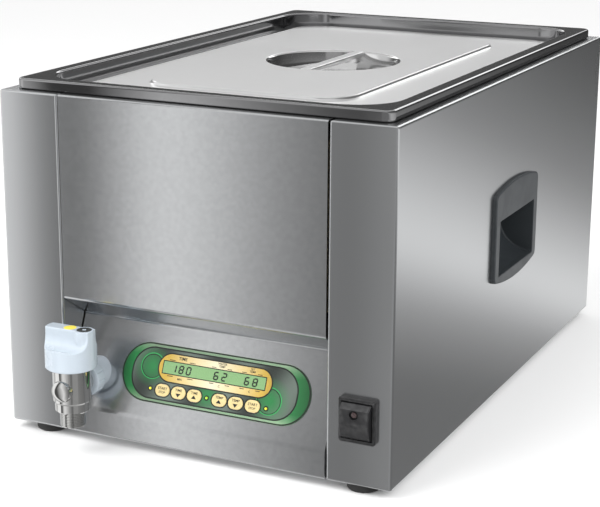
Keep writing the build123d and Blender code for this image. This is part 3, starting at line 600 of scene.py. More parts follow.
def gold_print_painted_highlight(gold):
    """Gold frame with a painted highlight, pale across its middle, and painted shade at its right end."""
    made, tree, shader = start_material("gold print with painted highlight", Coat_Weight=0.35, Coat_Roughness=0.2, Roughness=0.32)
    u, _ = face_coordinates(tree)
    side = remap(tree, u, DISPLAY_U - 58, DISPLAY_U + 58)
    pale = (0.74, 0.66, 0.46)
    painted_highlight_fade = (0.62, 0.48, 0.20)
    # Painted highlight: the gold fades through warmer tones to pale in the middle, and painted shade darkens
    # it at the right end.
    stops = [(0.0, gold), (0.1, gold), (0.25, painted_highlight_fade), (0.5, pale), (0.75, painted_highlight_fade), (0.92, gold)]
    link(tree, ramp(tree, side, stops + [(1.0, dim(gold, 0.8))]), shader, "Base Color")
    return made


def key_print(cream):
    """Key face: cream with soft darker clouds."""
    made, tree, shader = start_material("key face", Coat_Weight=0.4, Coat_Roughness=0.2, Roughness=0.3)
    smudge = place_group(tree, smudge_group(), Scale=120.0, Cover=0.5)
    link(tree, mix(tree, smudge["Mask"], cream, dim(cream, 0.88)), shader, "Base Color")
    return made


# ------------------------------------------------------------------ mesh tools


def square(bm, half_x, half_y, z):
    """A flat rectangle centred on the Z axis."""
    made = bmesh.ops.create_grid(bm, x_segments=1, y_segments=1, size=1.0)
    bmesh.ops.scale(bm, vec=(half_x, half_y, 1), verts=made["verts"])
    bmesh.ops.translate(bm, vec=(0, 0, z), verts=made["verts"])
    return made["verts"]


def rounded_square(bm, half_x, half_y, radius, z, steps):
    """A flat rectangle with round corners. Returns its face."""
    verts = square(bm, half_x, half_y, z)
    shape = {"segments": steps, "profile": 0.5, "material": -1, "clamp_overlap": True}
    done = bmesh.ops.bevel(bm, geom=verts, affect="VERTICES", offset=radius, **shape)
    return [f for f in done["verts"][0].link_faces if len(f.verts) > 4][0]


def round_loop(bm, half_x, half_y, radius, z, steps):
    """The edges of a rectangle with round corners."""
    face = rounded_square(bm, half_x, half_y, radius, z, steps)
    edges = list(face.edges)
    bmesh.ops.delete(bm, geom=[face], context="FACES_ONLY")
    return edges


def circle_loop(bm, radius, z, count, turn):
    made = bmesh.ops.create_circle(bm, cap_ends=False, radius=radius, segments=count)
    bmesh.ops.rotate(bm, verts=made["verts"], matrix=Matrix.Rotation(turn, 3, "Z"))
    bmesh.ops.translate(bm, vec=(0, 0, z), verts=made["verts"])
    return list({e for v in made["verts"] for e in v.link_edges})


def bridge(bm, first, second):
    bmesh.ops.bridge_loops(bm, edges=first + second)


def soften(bm, edges, radius, steps, clamp=True):
    """Rounds the given edges; without the clamp, short edges beside them don't limit the radius."""
    live = [e for e in edges if e.is_valid]
    if live and radius > 0:
        shape = {"segments": steps, "profile": 0.5, "material": -1, "clamp_overlap": clamp}
        bmesh.ops.bevel(bm, geom=live, affect="EDGES", offset=radius, **shape)


def sharp_edges(bm, angle, keep=None):
    """Edges whose two faces turn by more than an angle, and that keep picks."""
    limit = radians(angle)
    found = [e for e in bm.edges if len(e.link_faces) == 2 and e.calc_face_angle(0.0) > limit]
    return [e for e in found if keep is None or keep(e)]


def close_loop(bm, edges):
    bmesh.ops.edgeloop_fill(bm, edges=edges)


def shift_new(bm, grown, distance):
    """Moves the vertices that an extrusion made."""
    far = [v for v in grown["geom"] if isinstance(v, bmesh.types.BMVert)]
    bmesh.ops.translate(bm, vec=distance, verts=far)


def block(bm, low, high):
    """A box from its two corners."""
    low, high = Vector(low), Vector(high)
    made = bmesh.ops.create_cube(bm, size=1.0)
    bmesh.ops.scale(bm, vec=high - low, verts=made["verts"])
    bmesh.ops.translate(bm, vec=(low + high) / 2, verts=made["verts"])


def turned(profile, steps):
    """A closed turned solid from a profile of (radius, z) that starts and ends on the axis."""
    bm = bmesh.new()
    verts = [bm.verts.new((radius, 0, z)) for radius, z in profile]
    edges = [bm.edges.new(pair) for pair in zip(verts, verts[1:])]
    about_z = {"cent": (0, 0, 0), "axis": (0, 0, 1), "angle": 2 * pi}
    bmesh.ops.spin(bm, geom=verts + edges, steps=steps, use_merge=True, **about_z)
    bmesh.ops.remove_doubles(bm, verts=bm.verts, dist=1e-4)
    bmesh.ops.recalc_face_normals(bm, faces=bm.faces)
    return bm


def slab(half_x, half_y, radius, z0, z1, steps, soften_by=0.0):
    """A plate with round corners and softened upper and lower edges."""
    bm = bmesh.new()
    face = rounded_square(bm, half_x, half_y, radius, z0, steps)
    shift_new(bm, bmesh.ops.extrude_face_region(bm, geom=[face]), (0, 0, z1 - z0))
    bmesh.ops.recalc_face_normals(bm, faces=bm.faces)
    soften(bm, sharp_edges(bm, 50.0), soften_by, 2)
    return bm


def ring(half_x, half_y, radius, width, z0, z1, steps):
    """A flat closed band that follows a rounded rectangle, width inwards."""
    bm = bmesh.new()
    outer = round_loop(bm, half_x, half_y, radius, z0, steps)
    inner = round_loop(bm, half_x - width, half_y - width, max(radius - width, 0.05), z0, steps)
    bridge(bm, outer, inner)
    shift_new(bm, bmesh.ops.extrude_face_region(bm, geom=list(bm.faces)), (0, 0, z1 - z0))
    bmesh.ops.recalc_face_normals(bm, faces=bm.faces)
    return bm


def moved(bm, matrix):
    """The same bmesh, moved; a mirroring matrix also turns its faces round."""
    bmesh.ops.transform(bm, matrix=matrix, verts=bm.verts)
    if matrix.determinant() < 0:
        bmesh.ops.reverse_faces(bm, faces=bm.faces)
    return bm


def joined(*parts):
    """One bmesh from several."""
    whole = bmesh.new()
    for part in parts:
        spare = bpy.data.meshes.new("spare")
        part.to_mesh(spare)
        part.free()
        whole.from_mesh(spare)
        bpy.data.meshes.remove(spare)
    return whole


def combined(base, tool, operation):
    """Boolean of two closed solids. Returns a new bmesh."""
    objects = []
    for part in (base, tool):
        mesh = bpy.data.meshes.new("boolean part")
        part.to_mesh(mesh)
        part.free()
        made = bpy.data.objects.new("boolean part", mesh)
        bpy.context.scene.collection.objects.link(made)
        objects.append(made)
    cut = objects[0].modifiers.new("cut", "BOOLEAN")
    cut.object = objects[1]
    cut.operation = operation
    cut.solver = "MANIFOLD"
    return evaluated(objects)


def evaluated(objects):
    """The first object's mesh with its modifiers, as a bmesh; the objects are removed."""
    bpy.context.view_layer.update()
    graph = bpy.context.evaluated_depsgraph_get()
    result = bmesh.new()
    result.from_object(objects[0], graph)
    for made in objects:
        mesh = made.data
        bpy.data.objects.remove(made)
        bpy.data.meshes.remove(mesh)
    bmesh.ops.remove_doubles(result, verts=result.verts, dist=1e-4)
    return result


def melted(bm, voxel, passes):
    """Remeshes a closed solid finely and smooths it, which rounds every edge as a mould does."""
    mesh = bpy.data.meshes.new("melt")
    bm.to_mesh(mesh)
    bm.free()
    made = bpy.data.objects.new("melt", mesh)
    bpy.context.scene.collection.objects.link(made)
    remesh = made.modifiers.new("remesh", "REMESH")
    remesh.mode = "VOXEL"
    remesh.voxel_size = voxel
    smooth = made.modifiers.new("smooth", "SMOOTH")
    smooth.factor = 0.5
    smooth.iterations = passes
    return evaluated([made])


def finish(name, bm, body, finish_names, replaces=(), place=CASING, smooth_angle=35.0):
    """Makes the object: in the frame's metres, shaded, with its finishes, riding on its body."""
    moved(bm, place)
    bmesh.ops.recalc_face_normals(bm, faces=bm.faces)
    mesh = bpy.data.meshes.new(name)
    bm.to_mesh(mesh)
    bm.free()
    mesh.polygons.foreach_set("use_smooth", [True] * len(mesh.polygons))
    mesh.set_sharp_from_angle(angle=radians(smooth_angle))
    for each in finish_names.split():
        mesh.materials.append(FINISHES[each])
    piece = bpy.data.objects.new(name, mesh)
    bpy.context.scene.collection.objects.link(piece)
    shade = piece.modifiers.new("face weighted normals", "WEIGHTED_NORMAL")
    shade.keep_sharp = True
    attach(piece, body)
    if replaces:
        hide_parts(*replaces)


def lettering(text, size, u, v, w):
    """Small generic lettering lying on a plane, centred at (u, v)."""
    curve = bpy.data.curves.new("lettering", "FONT")
    curve.body = text
    curve.size = size
    curve.align_x = "CENTER"
    curve.align_y = "CENTER"
    curve.extrude = 0.03
    curve.offset = size * 0.018
    curve.resolution_u = 3
    made = bpy.data.objects.new("lettering", curve)
    bpy.context.scene.collection.objects.link(made)
    bpy.context.view_layer.update()
    mesh = bpy.data.meshes.new_from_object(made.evaluated_get(bpy.context.evaluated_depsgraph_get()))
    bm = bmesh.new()
    bm.from_mesh(mesh)
    bpy.data.objects.remove(made)
    bpy.data.curves.remove(curve)
    bpy.data.meshes.remove(mesh)
    bmesh.ops.remove_doubles(bm, verts=bm.verts, dist=1e-5)
    return moved(bm, Matrix.Translation((u, v, w)))


# ------------------------------------------------------------------ casing


def sheet_metal(bm, thick, bend):
    """Rounds the folds of a thin skin and gives it its thickness inwards."""
    bmesh.ops.dissolve_limit(bm, angle_limit=radians(1), verts=bm.verts, edges=bm.edges)
    soften(bm, sharp_edges(bm, 15.0), bend, 5, clamp=False)
    bmesh.ops.solidify(bm, geom=bm.faces[:], thickness=thick)
    return bm


def cut_planes(bm, axis, places):
    """Splits every face along planes square to an axis."""
    normal = Vector((0, 0, 0))
    normal[axis] = 1
    for place in places:
        geometry = bm.verts[:] + bm.edges[:] + bm.faces[:]
        bmesh.ops.bisect_plane(bm, geom=geometry, plane_co=normal * place, plane_no=normal)


def drop_faces(bm, unwanted):
    found = [f for f in bm.faces if unwanted(f.calc_center_median())]
    bmesh.ops.delete(bm, geom=found, context="FACES")


def inside(point, box):
    """True where a point is inside a box given as ((x0, x1), (y0, y1), (z0, z1))."""
    return all(low < value < high for value, (low, high) in zip(point, box))


def side_shell(settings, with_switch):
    """Right side shell: front strip with its cheek, side, rear strip, deck and bottom flanges."""
    cheek_y = -HALF_D + settings.crease_depth + CHEEK_EXTRA
    bm = bmesh.new()
    block(bm, (SEAM_X, -HALF_D, 0), (HALF_W, HALF_D, CASE_H))
    cut_planes(bm, 0, (BOTTOM_X, REAR_STRIP_X, DECK_X, *SWITCH_HOLE[0]))
    cut_planes(bm, 1, (cheek_y, -DECK_Y, DECK_Y, -BOTTOM_Y, BOTTOM_Y, *POCKET[1]))
    cut_planes(bm, 2, (UPPER_CHEEK_Z, *POCKET[2], *SWITCH_HOLE[2]))
    gone = [
        (around(SEAM_X), (cheek_y, FAR), WIDE),
        (around(SEAM_X), (-DECK_Y, FAR), (UPPER_CHEEK_Z, FAR)),
        ((-FAR, DECK_X), (-DECK_Y, DECK_Y), around(CASE_H)),
        ((-FAR, REAR_STRIP_X), (DECK_Y, FAR), around(CASE_H)),
        ((-FAR, REAR_STRIP_X), around(HALF_D), WIDE),
        ((-FAR, BOTTOM_X), (-BOTTOM_Y, BOTTOM_Y), around(0)),
        POCKET,
    ]
    if with_switch:
        gone.append(SWITCH_HOLE)
    drop_faces(bm, lambda centre: any(inside(centre, box) for box in gone))
    return sheet_metal(bm, settings.sheet, settings.bend)


def folded_strip(outline, half_width, settings):
    """A sheet folded along X from its outline in (y, z)."""
    bm = bmesh.new()
    verts = [bm.verts.new((-half_width, y, z)) for y, z in outline]
    edges = [bm.edges.new(pair) for pair in zip(verts, verts[1:])]
    shift_new(bm, bmesh.ops.extrude_edge_only(bm, edges=edges), (2 * half_width, 0, 0))
    bm.normal_update()
    if sum(face.normal.y * face.calc_area() for face in bm.faces) > 0:
        bmesh.ops.reverse_faces(bm, faces=bm.faces)
    return sheet_metal(bm, settings.sheet, settings.bend)


def front_panel(settings):
    """Upper panel, return, sloped control face and bottom band in one sheet."""
    front = -HALF_D
    outline = [
        (front + settings.flange, CASE_H),
        (front, CASE_H),
        (front, settings.recess_top),
        (front + settings.crease_depth, settings.crease_height),
        (front, settings.slope_foot),
        (front, 0),
        (front + settings.flange, 0),
    ]
    return folded_strip(outline, SEAM_X - settings.seam_gap, settings)


class WATERBATH_OT_casing(bpy.types.Operator):
    """Builds the folded side shells and the front panel"""

    bl_idname = "waterbath.casing"
    bl_label = "Casing"

    def execute(self, context):
        settings = context.scene.water_bath.casing
        right = side_shell(settings, True)
        finish("right_shell_skin", right, "casing", "brushed", ["right_side_shell"])
        left = moved(side_shell(settings, False), MIRRORED)
        finish("left_shell_skin", left, "casing", "brushed", ["left_side_shell"])
        panel = front_panel(settings)
        finish("front_panel_skin", panel, "casing", "brushed", ["front_panel"])
        return {"FINISHED"}


# ------------------------------------------------------------------ control face

# The bars that each digit lights, in the usual letters of a seven-segment display.
LIT_BARS = {"0": "abcdef", "1": "bc", "2": "abged", "6": "afgedc", "8": "abcdefg"}
PRINT_T = 0.06


def on_face(u, v, w):
    """The move that puts a shape at a place on the control face's own axes."""
    return Matrix.Translation((u, v, w))


def printed(name, bm, ink="ink", replaces=()):
    """Finishes one printed piece of the control face."""
    finish(name, bm, "casing", ink, replaces, FACE)


def seven_segments(digit, height, u, v, w):
    """One display digit from its lit bars, leaning a little to the right."""
    half = height / 2
    wide = height * 0.29
    thick = height * 0.2
    level_bars = {"a": half, "g": 0, "d": -half}
    upper, lower = half / 2, -half / 2
    upright_bars = {"f": (-wide, upper), "b": (wide, upper), "e": (-wide, lower), "c": (wide, lower)}
    parts = []
    for bar in LIT_BARS[digit]:
        if bar in level_bars:
            part = slab(wide * 0.86, thick / 2, 0.12, 0, PRINT_T, 2)
            x, y = 0, level_bars[bar]
        else:
            part = slab(thick / 2, half * 0.44, 0.12, 0, PRINT_T, 2)
            x, y = upright_bars[bar]
        parts.append(moved(part, Matrix.Translation((x, y, 0))))
    lean = Matrix.Identity(4)
    lean[0][1] = 0.1
    return moved(joined(*parts), on_face(u, v, w) @ lean)


def key_holes(low, high):
    """Cutters for the six keys and the three lamps."""
    parts = []
    for u in KEY_U:
        hole = slab(KEY_L / 2 + 0.25, KEY_H / 2 + 0.25, KEY_H / 2 + 0.2, low, high, 10)
        parts.append(moved(hole, on_face(u, KEY_V, 0)))
    for u in LAMP_U:
        hole = slab(LAMP_R, LAMP_R, LAMP_R * 0.99, low, high, 6)
        parts.append(moved(hole, on_face(u, KEY_V, 0)))
    return joined(*parts)


def print_layer(half_u, half_v, radius, u, v, low, high, holes=False):
    """One printed shape: a thin plate with round corners, cut round the keys if asked."""
    layer = moved(slab(half_u, half_v, radius, low, high, 12), on_face(u, v, 0))
    if holes:
        layer = combined(layer, key_holes(low - 1, high + 1), "DIFFERENCE")
    return layer


class WATERBATH_OT_overlay(bpy.types.Operator):
    """Builds the moulded overlay with its printed layers"""

    bl_idname = "waterbath.overlay"
    bl_label = "Control overlay"

    def execute(self, context):
        step = context.scene.water_bath.control.print_step
        top = OVERLAY_T
        half_u, half_v = OVERLAY_HALF_U, OVERLAY_HALF_V
        base = print_layer(half_u, half_v, half_v - 0.15, OVERLAY_U, OVERLAY_V, 0.02, top, True)
        soften(base, sharp_edges(base, 60.0, lambda e: all(v.co.z > top - 0.1 for v in e.verts)), 0.25, 2)
        printed("overlay_ground", base, "green", replaces=["control_overlay"])
        edge = ring(half_u - 0.2, half_v - 0.2, half_v - 0.35, 1.2, 0, 2 * step, 12)
        printed("overlay_edge_line", moved(edge, on_face(OVERLAY_U, OVERLAY_V, top - 0.05)))
        outline = print_layer(82.5, 23.4, 21.0, FIELD_U, FIELD_V, top, top + step, True)
        printed("field_outline", outline)
        field = print_layer(81.3, 22.2, 20.0, FIELD_U, FIELD_V, top + step, top + 2 * step, True)
        printed("field_print", field, "field")
        self.add_rings(top + 2 * step, step)
        self.add_display(top + 3 * step, step)
        self.add_headings(top + 5 * step)
        return {"FINISHED"}

    def add_rings(self, level, step):
        """The two glow rings with their shadows, and a dark line round each key and lamp."""
        for index, (u, v, radius) in enumerate(GLOW_RINGS):
            glow = ring(radius, radius, radius * 0.99, 0.8, 0, step, 16)
            printed(f"glow_ring_{index}", moved(glow, on_face(u, v, level)), "glow")
            inner = radius - 0.9
            dark = ring(inner, inner, inner * 0.99, 0.7, 0, step, 16)
            printed(f"glow_shadow_{index}", moved(dark, on_face(u, v - 0.2, level)))
        for index, u in enumerate(KEY_U):
            line = ring(KEY_L / 2 + 1.1, KEY_H / 2 + 1.1, KEY_H / 2 + 1.0, 0.8, 0, step, 10)
            printed(f"key_line_{index}", moved(line, on_face(u, KEY_V, level)))
        for index, u in enumerate(LAMP_U):
            line = ring(2.4, 2.4, 2.37, 0.9, 0, step, 8)
            printed(f"lamp_line_{index}", moved(line, on_face(u, KEY_V, level)))

    def add_display(self, level, step):
        """The gold frame, the display in it and its digits, one layer on the next."""
        levels = [level + index * step for index in range(5)]
        shade = print_layer(57.2, 13.4, 13.3, FIELD_U, 48.2, *levels[0:2])
        printed("display_frame_line", shade)
        gold = print_layer(56.0, 12.25, 12.2, FIELD_U, 48.25, *levels[1:3])
        printed("display_frame", gold, "gold")
        bezel = print_layer(51.6, 6.1, 0.8, DISPLAY_U, DISPLAY_V, *levels[2:4])
        printed("display_bezel", bezel)
        glass = print_layer(50.8, 5.3, 0.5, DISPLAY_U, DISPLAY_V, *levels[3:5])
        printed("display_glass", glass, "display", ["display_window"])
        digits = []
        for text, start, pitch in (("180", -27.2, 7.4), ("62", 15.2, 8.0), ("68", 45.6, 8.0)):
            for index, digit in enumerate(text):
                digits.append(seven_segments(digit, 6.4, start + index * pitch, 48.0, levels[4]))
        printed("display_digits", joined(*digits))

    def add_headings(self, level):
        """Generic words over and under the display, with short rules beside them."""
        columns = (-20.0, 19.5, 49.5)
        marks = [lettering("TIME", 4.0, columns[0], 57.6, level)]
        for first, second, unit, u in (("WATER", "TEMP", "C", columns[1]), ("SET", "TEMP", "C", columns[2])):
            marks.append(lettering(first, 2.6, u, 59.0, level))
            marks.append(lettering(second, 2.6, u, 56.7, level))
            marks.append(lettering(unit, 2.6, u, 39.3, level))
        marks.append(lettering("MIN", 2.6, columns[0], 39.3, level))
        for u, half in zip(columns, (13.0, 10.0, 10.0)):
            for v in (55.3, 41.0):
                for side in (-1, 1):
                    rule = slab(half * 0.22, 0.3, 0.1, 0, PRINT_T, 2)
                    marks.append(moved(rule, on_face(u + side * half * 0.78, v, level)))
        printed("display_headings", joined(*marks))


class WATERBATH_OT_keys(bpy.types.Operator):
    """Builds the six oval keys with their labels, and the lamps"""

    bl_idname = "waterbath.keys"
    bl_label = "Keys and lamps"

    def execute(self, context):
        for index, (node, u, label) in enumerate(zip(KEY_NODES, KEY_U, KEY_LABELS)):
            key = slab(KEY_L / 2, KEY_H / 2, KEY_H / 2 - 0.05, -1.6, KEY_TOP, 12)
            soften(key, sharp_edges(key, 60.0, lambda e: all(v.co.z > 1 for v in e.verts)), 0.5, 3)
            moved(key, on_face(u, KEY_V, 0))
            finish(f"key_top_{index}", key, node, "cream", [node], FACE)
            self.add_label(index, node, u, label)
        for index, u in enumerate(LAMP_U):
            lens = turned([(0, -2), (1.3, -2), (1.3, 0.9), (1.15, 1.5), (0.75, 1.95), (0, 2.2)], 24)
            tint = "lamp_green" if index == 1 else "lamp"
            replaced = ["indicator_lamps"] if index == 0 else []
            printed(f"lamp_lens_{index}", moved(lens, on_face(u, KEY_V, 0)), tint, replaced)
        return {"FINISHED"}

    def add_label(self, index, node, u, label):
        """Two words on a start key; on the others a word over an arrow."""
        if label == "START":
            lower = lettering("STOP", 2.7, u, KEY_V - 1.9, KEY_TOP)
            marks = [lettering("START", 3.2, u, KEY_V + 1.5, KEY_TOP), lower]
        else:
            word = "TIME" if node.startswith("time") else "TEMP"
            arrow = bmesh.new()
            bmesh.ops.create_cone(arrow, cap_ends=True, segments=3, radius1=2.9, radius2=2.9, depth=0.08)
            turn = Matrix.Rotation(0 if label == "UP" else pi, 4, "Z")
            moved(arrow, on_face(u, KEY_V - 1.8, KEY_TOP) @ Matrix.Scale(0.75, 4, (0, 1, 0)) @ turn)
            marks = [lettering(word, 3.2, u, KEY_V + 2.2, KEY_TOP), arrow]
        finish(f"key_label_{index}", joined(*marks), node, "ink", place=FACE)


# ------------------------------------------------------------------ tank and lid


def pressed_sheet(loops, steps):
    """A pressed sheet through rounded rectangles given as (half x, half y, radius, z)."""
    bm = bmesh.new()
    rings = [round_loop(bm, *loop, steps) for loop in loops]
    for first, second in zip(rings, rings[1:]):
        bridge(bm, first, second)
    return bm


def face_up(bm):
    """Turns an open sheet so that its broad faces look up."""
    bm.normal_update()
    if sum(face.normal.z * face.calc_area() for face in bm.faces) < 0:
        bmesh.ops.reverse_faces(bm, faces=bm.faces)


def round_bends(bm, bends, angle):
    """Rounds a pressed sheet's bends, given as (level, radius, steps)."""
    for level, radius, steps in bends:
        edges = sharp_edges(bm, angle, lambda e: all(abs(v.co.z - level) < 0.01 for v in e.verts))
        soften(bm, edges, radius, steps)


class WATERBATH_OT_tank(bpy.types.Operator):
    """Builds the deep-drawn tank with its rim and lid seat"""

    bl_idname = "waterbath.tank"
    bl_label = "Tank"

    def execute(self, context):
        settings = context.scene.water_bath.tank
        loops = [
            (180, 282.5, 9, RIM_FOOT_Z),
            (180, 282.5, 9, RIM_Z),
            (165.5, 268, 42, RIM_Z),
            (165.5, 268, 42, SEAT_Z),
            (152, 254, 30, SEAT_Z),
            (152, 254, 30, TANK_FLOOR_Z),
        ]
        bm = pressed_sheet(loops, settings.corner_steps)
        lowest = TANK_FLOOR_Z + 1
        close_loop(bm, [e for e in bm.edges if e.is_boundary and all(v.co.z < lowest for v in e.verts)])
        bmesh.ops.recalc_face_normals(bm, faces=bm.faces)
        round_bends(bm, ((RIM_Z, 2.4, 4), (SEAT_Z, 3.0, 4), (TANK_FLOOR_Z, 12.0, 6)), 40.0)
        face_up(bm)
        bmesh.ops.solidify(bm, geom=bm.faces[:], thickness=settings.sheet)
        finish("tank_skin", bm, "casing", "tank", ["bath_tank"])
        return {"FINISHED"}


class WATERBATH_OT_lid(bpy.types.Operator):
    """Builds the pressed lid with its round dish and its grip bar"""

    bl_idname = "waterbath.lid"
    bl_label = "Lid"

    def execute(self, context):
        settings = context.scene.water_bath.tank
        steps = settings.corner_steps
        loops = [
            (162.5, 265, 38, LID_EDGE_Z),
            (151.6, 254.1, 31, LID_EDGE_Z),
            (149.4, 251.9, 29, LID_STEP_Z),
            (103.4, 200.9, 31, LID_STEP_Z),
            (101.8, 199.3, 29, LID_TOP_Z),
        ]
        dish_rings = ((DISH_R, LID_TOP_Z), (64.5, 308.4), (61.0, DISH_FOOT_Z), (52.0, DISH_FLOOR_Z))
        bm = pressed_sheet(loops, steps)
        count = 4 * (steps + 1)
        highest = LID_TOP_Z - 0.01
        top_edges = [e for e in bm.edges if e.is_boundary and all(v.co.z > highest for v in e.verts)]
        dish = [circle_loop(bm, radius, z, count, pi / count) for radius, z in dish_rings]
        bridge(bm, top_edges, dish[0])
        for first, second in zip(dish, dish[1:]):
            bridge(bm, first, second)
        close_loop(bm, dish[-1])
        bmesh.ops.recalc_face_normals(bm, faces=bm.faces)
        face_up(bm)
        bends = ((LID_EDGE_Z, 1.2, 4), (LID_STEP_Z, 1.4, 4), (LID_TOP_Z, 0.9, 4))
        round_bends(bm, bends + ((DISH_FOOT_Z, 6.0, 4), (DISH_FLOOR_Z, 4.0, 4)), 16.0)
        bmesh.ops.solidify(bm, geom=bm.faces[:], thickness=settings.lid_sheet)
        for face in bm.faces:
            face.material_index = int(face.calc_center_median().xy.length < DISH_R - 0.1)
        finish("lid_skin", bm, "lid", "satin dish", ["lid_panel"])
        bar = slab(6.0, 65.2, 2.0, 305.4, 310.4, 4, 1.6)
        finish("lid_bar", bar, "lid", "satin", ["lid_handle_bar"])
        return {"FINISHED"}


# ------------------------------------------------------------------ handles


def on_plate(edge):
    """True for an edge on the outer face of the handle's plate."""
    return all(v.co.x > HALF_W + HANDLE_PROUD - 0.1 for v in edge.verts)


def handle_plate():
    """Proud plate: straight ends, bowed top and bottom, soft rim. Drawn in (y, z) with x out."""
    bm = bmesh.new()
    half = 62.0
    low = 118.5
    high = 203.0
    bulge = 7.0
    steps = 14
    across = [half - 2 * half * i / steps for i in range(steps + 1)]
    arch = [(y, high + bulge * (1 - (y / half) ** 2)) for y in across]
    sill = [(-y, low - bulge * (1 - (y / half) ** 2)) for y in across]
    verts = [bm.verts.new((HALF_W - 0.4, y + HANDLE_Y, z)) for y, z in arch + sill]
    bm.faces.new(verts)
    corners = [v for v in verts if abs(abs(v.co.y - HANDLE_Y) - half) < 0.01]
    bmesh.ops.bevel(bm, geom=corners, affect="VERTICES", offset=5, segments=5, profile=0.5, material=-1)
    face = max(bm.faces, key=lambda f: f.calc_area())
    shift_new(bm, bmesh.ops.extrude_face_region(bm, geom=[face]), (HANDLE_PROUD + 0.4, 0, 0))
    bmesh.ops.recalc_face_normals(bm, faces=bm.faces)
    soften(bm, sharp_edges(bm, 60.0, on_plate), 1.6, 4)
    return bm


def pocket_block(grow, mouth):
    """The pocket's solid: a deep top and a floor that curves outwards to the mouth."""
    bm = bmesh.new()
    half = 51.0 + grow
    front = HALF_W + HANDLE_PROUD
    back = front - POCKET_DEPTH - grow
    knee = 152.0
    low = 123.0 - grow
    high = 177.0 + grow
    outline = [(mouth, low), (mouth, high), (back, high), (back, knee)]
    steps = 10
    for step in range(1, steps):
        angle = pi / 2 * step / steps
        outline.append((back + (front - back) * (1 - cos(angle)), knee - (knee - low) * sin(angle)))
    verts = [bm.verts.new((x, HANDLE_Y - half, z)) for x, z in outline]
    face = bm.faces.new(verts)
    shift_new(bm, bmesh.ops.extrude_face_region(bm, geom=[face]), (0, 2 * half, 0))
    bmesh.ops.recalc_face_normals(bm, faces=bm.faces)
    soften(bm, sharp_edges(bm, 60.0, lambda e: all(v.co.x < HALF_W - 1 for v in e.verts)), 5.0 + grow, 4)
    return bm


class WATERBATH_OT_handles(bpy.types.Operator):
    """Builds the recessed side handles"""

    bl_idname = "waterbath.handles"
    bl_label = "Side handles"

    def execute(self, context):
        for side, mirror in (("right", False), ("left", True)):
            outside = combined(handle_plate(), pocket_block(2.0, HALF_W + 1), "UNION")
            whole = combined(outside, pocket_block(0.0, HALF_W + 12), "DIFFERENCE")
            bmesh.ops.dissolve_limit(whole, angle_limit=radians(0.5), verts=whole.verts, edges=whole.edges)
            soften(whole, sharp_edges(whole, 50.0, on_plate), 1.3, 4)
            if mirror:
                moved(whole, MIRRORED)
            finish(f"{side}_pull", whole, "casing", "handle", [f"{side}_handle"])
        return {"FINISHED"}


# ------------------------------------------------------------------ valve


def valve_place(bm, turn=Matrix.Identity(4), lift=0.0):
    """Puts a shape drawn about Z on the valve's upright axis, or on its cross axis when turned."""
    place = Matrix.Translation((VALVE_X, VALVE_Y, lift))
    return moved(bm, place @ turn)


def thread_profile(low, high, crest, root, ridges):
    """Ridges of a thread as (radius, z) points from the top down."""
    pitch = (high - low) / ridges
    ridge = ((root, 0.05), (crest, 0.40), (crest, 0.60), (root, 0.95))
    points = []
    for index in range(ridges):
        points += [(radius, high - (index + part) * pitch) for radius, part in ridge]
    return points


class WATERBATH_OT_valve(bpy.types.Operator):
    """Builds the drain valve's body, its union nut and rosette"""

    bl_idname = "waterbath.valve"
    bl_label = "Drain valve"

    def execute(self, context):
        steps = context.scene.water_bath.valve.steps
        whole = combined(valve_place(turned(self.body_profile(), steps)), self.front_boss(steps), "UNION")
        tail = turned([(0, 0), (11, 0), (11, 59), (0, 59)], steps)
        whole = combined(whole, valve_place(tail, TO_BACK, VALVE_Z), "UNION")
        soften(whole, sharp_edges(whole, 50.0, self.at_boss), 0.5, 2)
        finish("valve_casting", whole, "casing", "chrome", ["valve_body"])
        outline = [(0, 17.6), (13.5, 17.6), (15.4, 18.4), (16, 20)]
        outline += [(16, 29), (15.3, 30.4), (13.6, 31), (0, 31)]
        nut = valve_place(turned(outline, steps), TO_BACK, VALVE_Z)
        flutes = [valve_place(self.flute(angle), TO_BACK, VALVE_Z) for angle in range(0, 360, 30)]
        nut = combined(nut, joined(*flutes), "DIFFERENCE")
        finish("union_collar", nut, "casing", "cap", ["union_nut"], smooth_angle=40)
        rosette = turned([(0, 31), (12.6, 31), (13.6, 32), (13.6, 70), (0, 70)], steps)
        valve_place(rosette, TO_BACK, VALVE_Z)
        behind = Vector((0, SLOPE_RISE, -SLOPE_RUN))
        whole = rosette.verts[:] + rosette.edges[:] + rosette.faces[:]
        foot = (0, -HALF_D, SLOPE_FOOT_Z)
        bmesh.ops.bisect_plane(rosette, geom=whole, plane_co=foot, plane_no=behind, clear_outer=True)
        close_loop(rosette, [e for e in rosette.edges if e.is_boundary])
        finish("wall_collar", rosette, "casing", "cap", ["wall_rosette"])
        return {"FINISHED"}

    def at_boss(self, edge):
        """True for an edge of the seams where the round bodies meet."""
        place = edge.verts[0].co
        return 40 < place.z < 73 and abs(place.y - VALVE_Y) > 3

    def body_profile(self):
        """The casting's outline from its neck to the outlet thread, and back up inside the bore."""
        profile = [(0, 73.6), (11, 73.6), (11.4, 74), (16.2, 74), (17, 73.2), (17, 44.4), (15.9, 43)]
        profile += [(15.6, 42.6), (15.6, 35.4), (14.2, 34), (11.2, 34)]
        profile += thread_profile(20.3, 33.6, 11.4, 10.5, 9)
        profile += [(10.3, 19.6), (9.2, 19.6), (9.0, 20.2), (9.0, 34), (0, 34)]
        return profile

    def front_boss(self, steps):
        boss = turned([(0, 0), (10, 0), (10, 16.4), (9.2, 18.6), (7.2, 20), (4.5, 20.4), (0, 20.5)], steps)
        return valve_place(boss, TO_FRONT, VALVE_Z)

    def flute(self, angle):
        """A cutter for one grip flute of the union nut."""
        made = turned([(0, 19.5), (1.2, 19.5), (1.2, 28.5), (0, 28.5)], 12)
        return moved(made, Matrix.Rotation(radians(angle), 4, "Z") @ Matrix.Translation((16.4, 0, 0)))


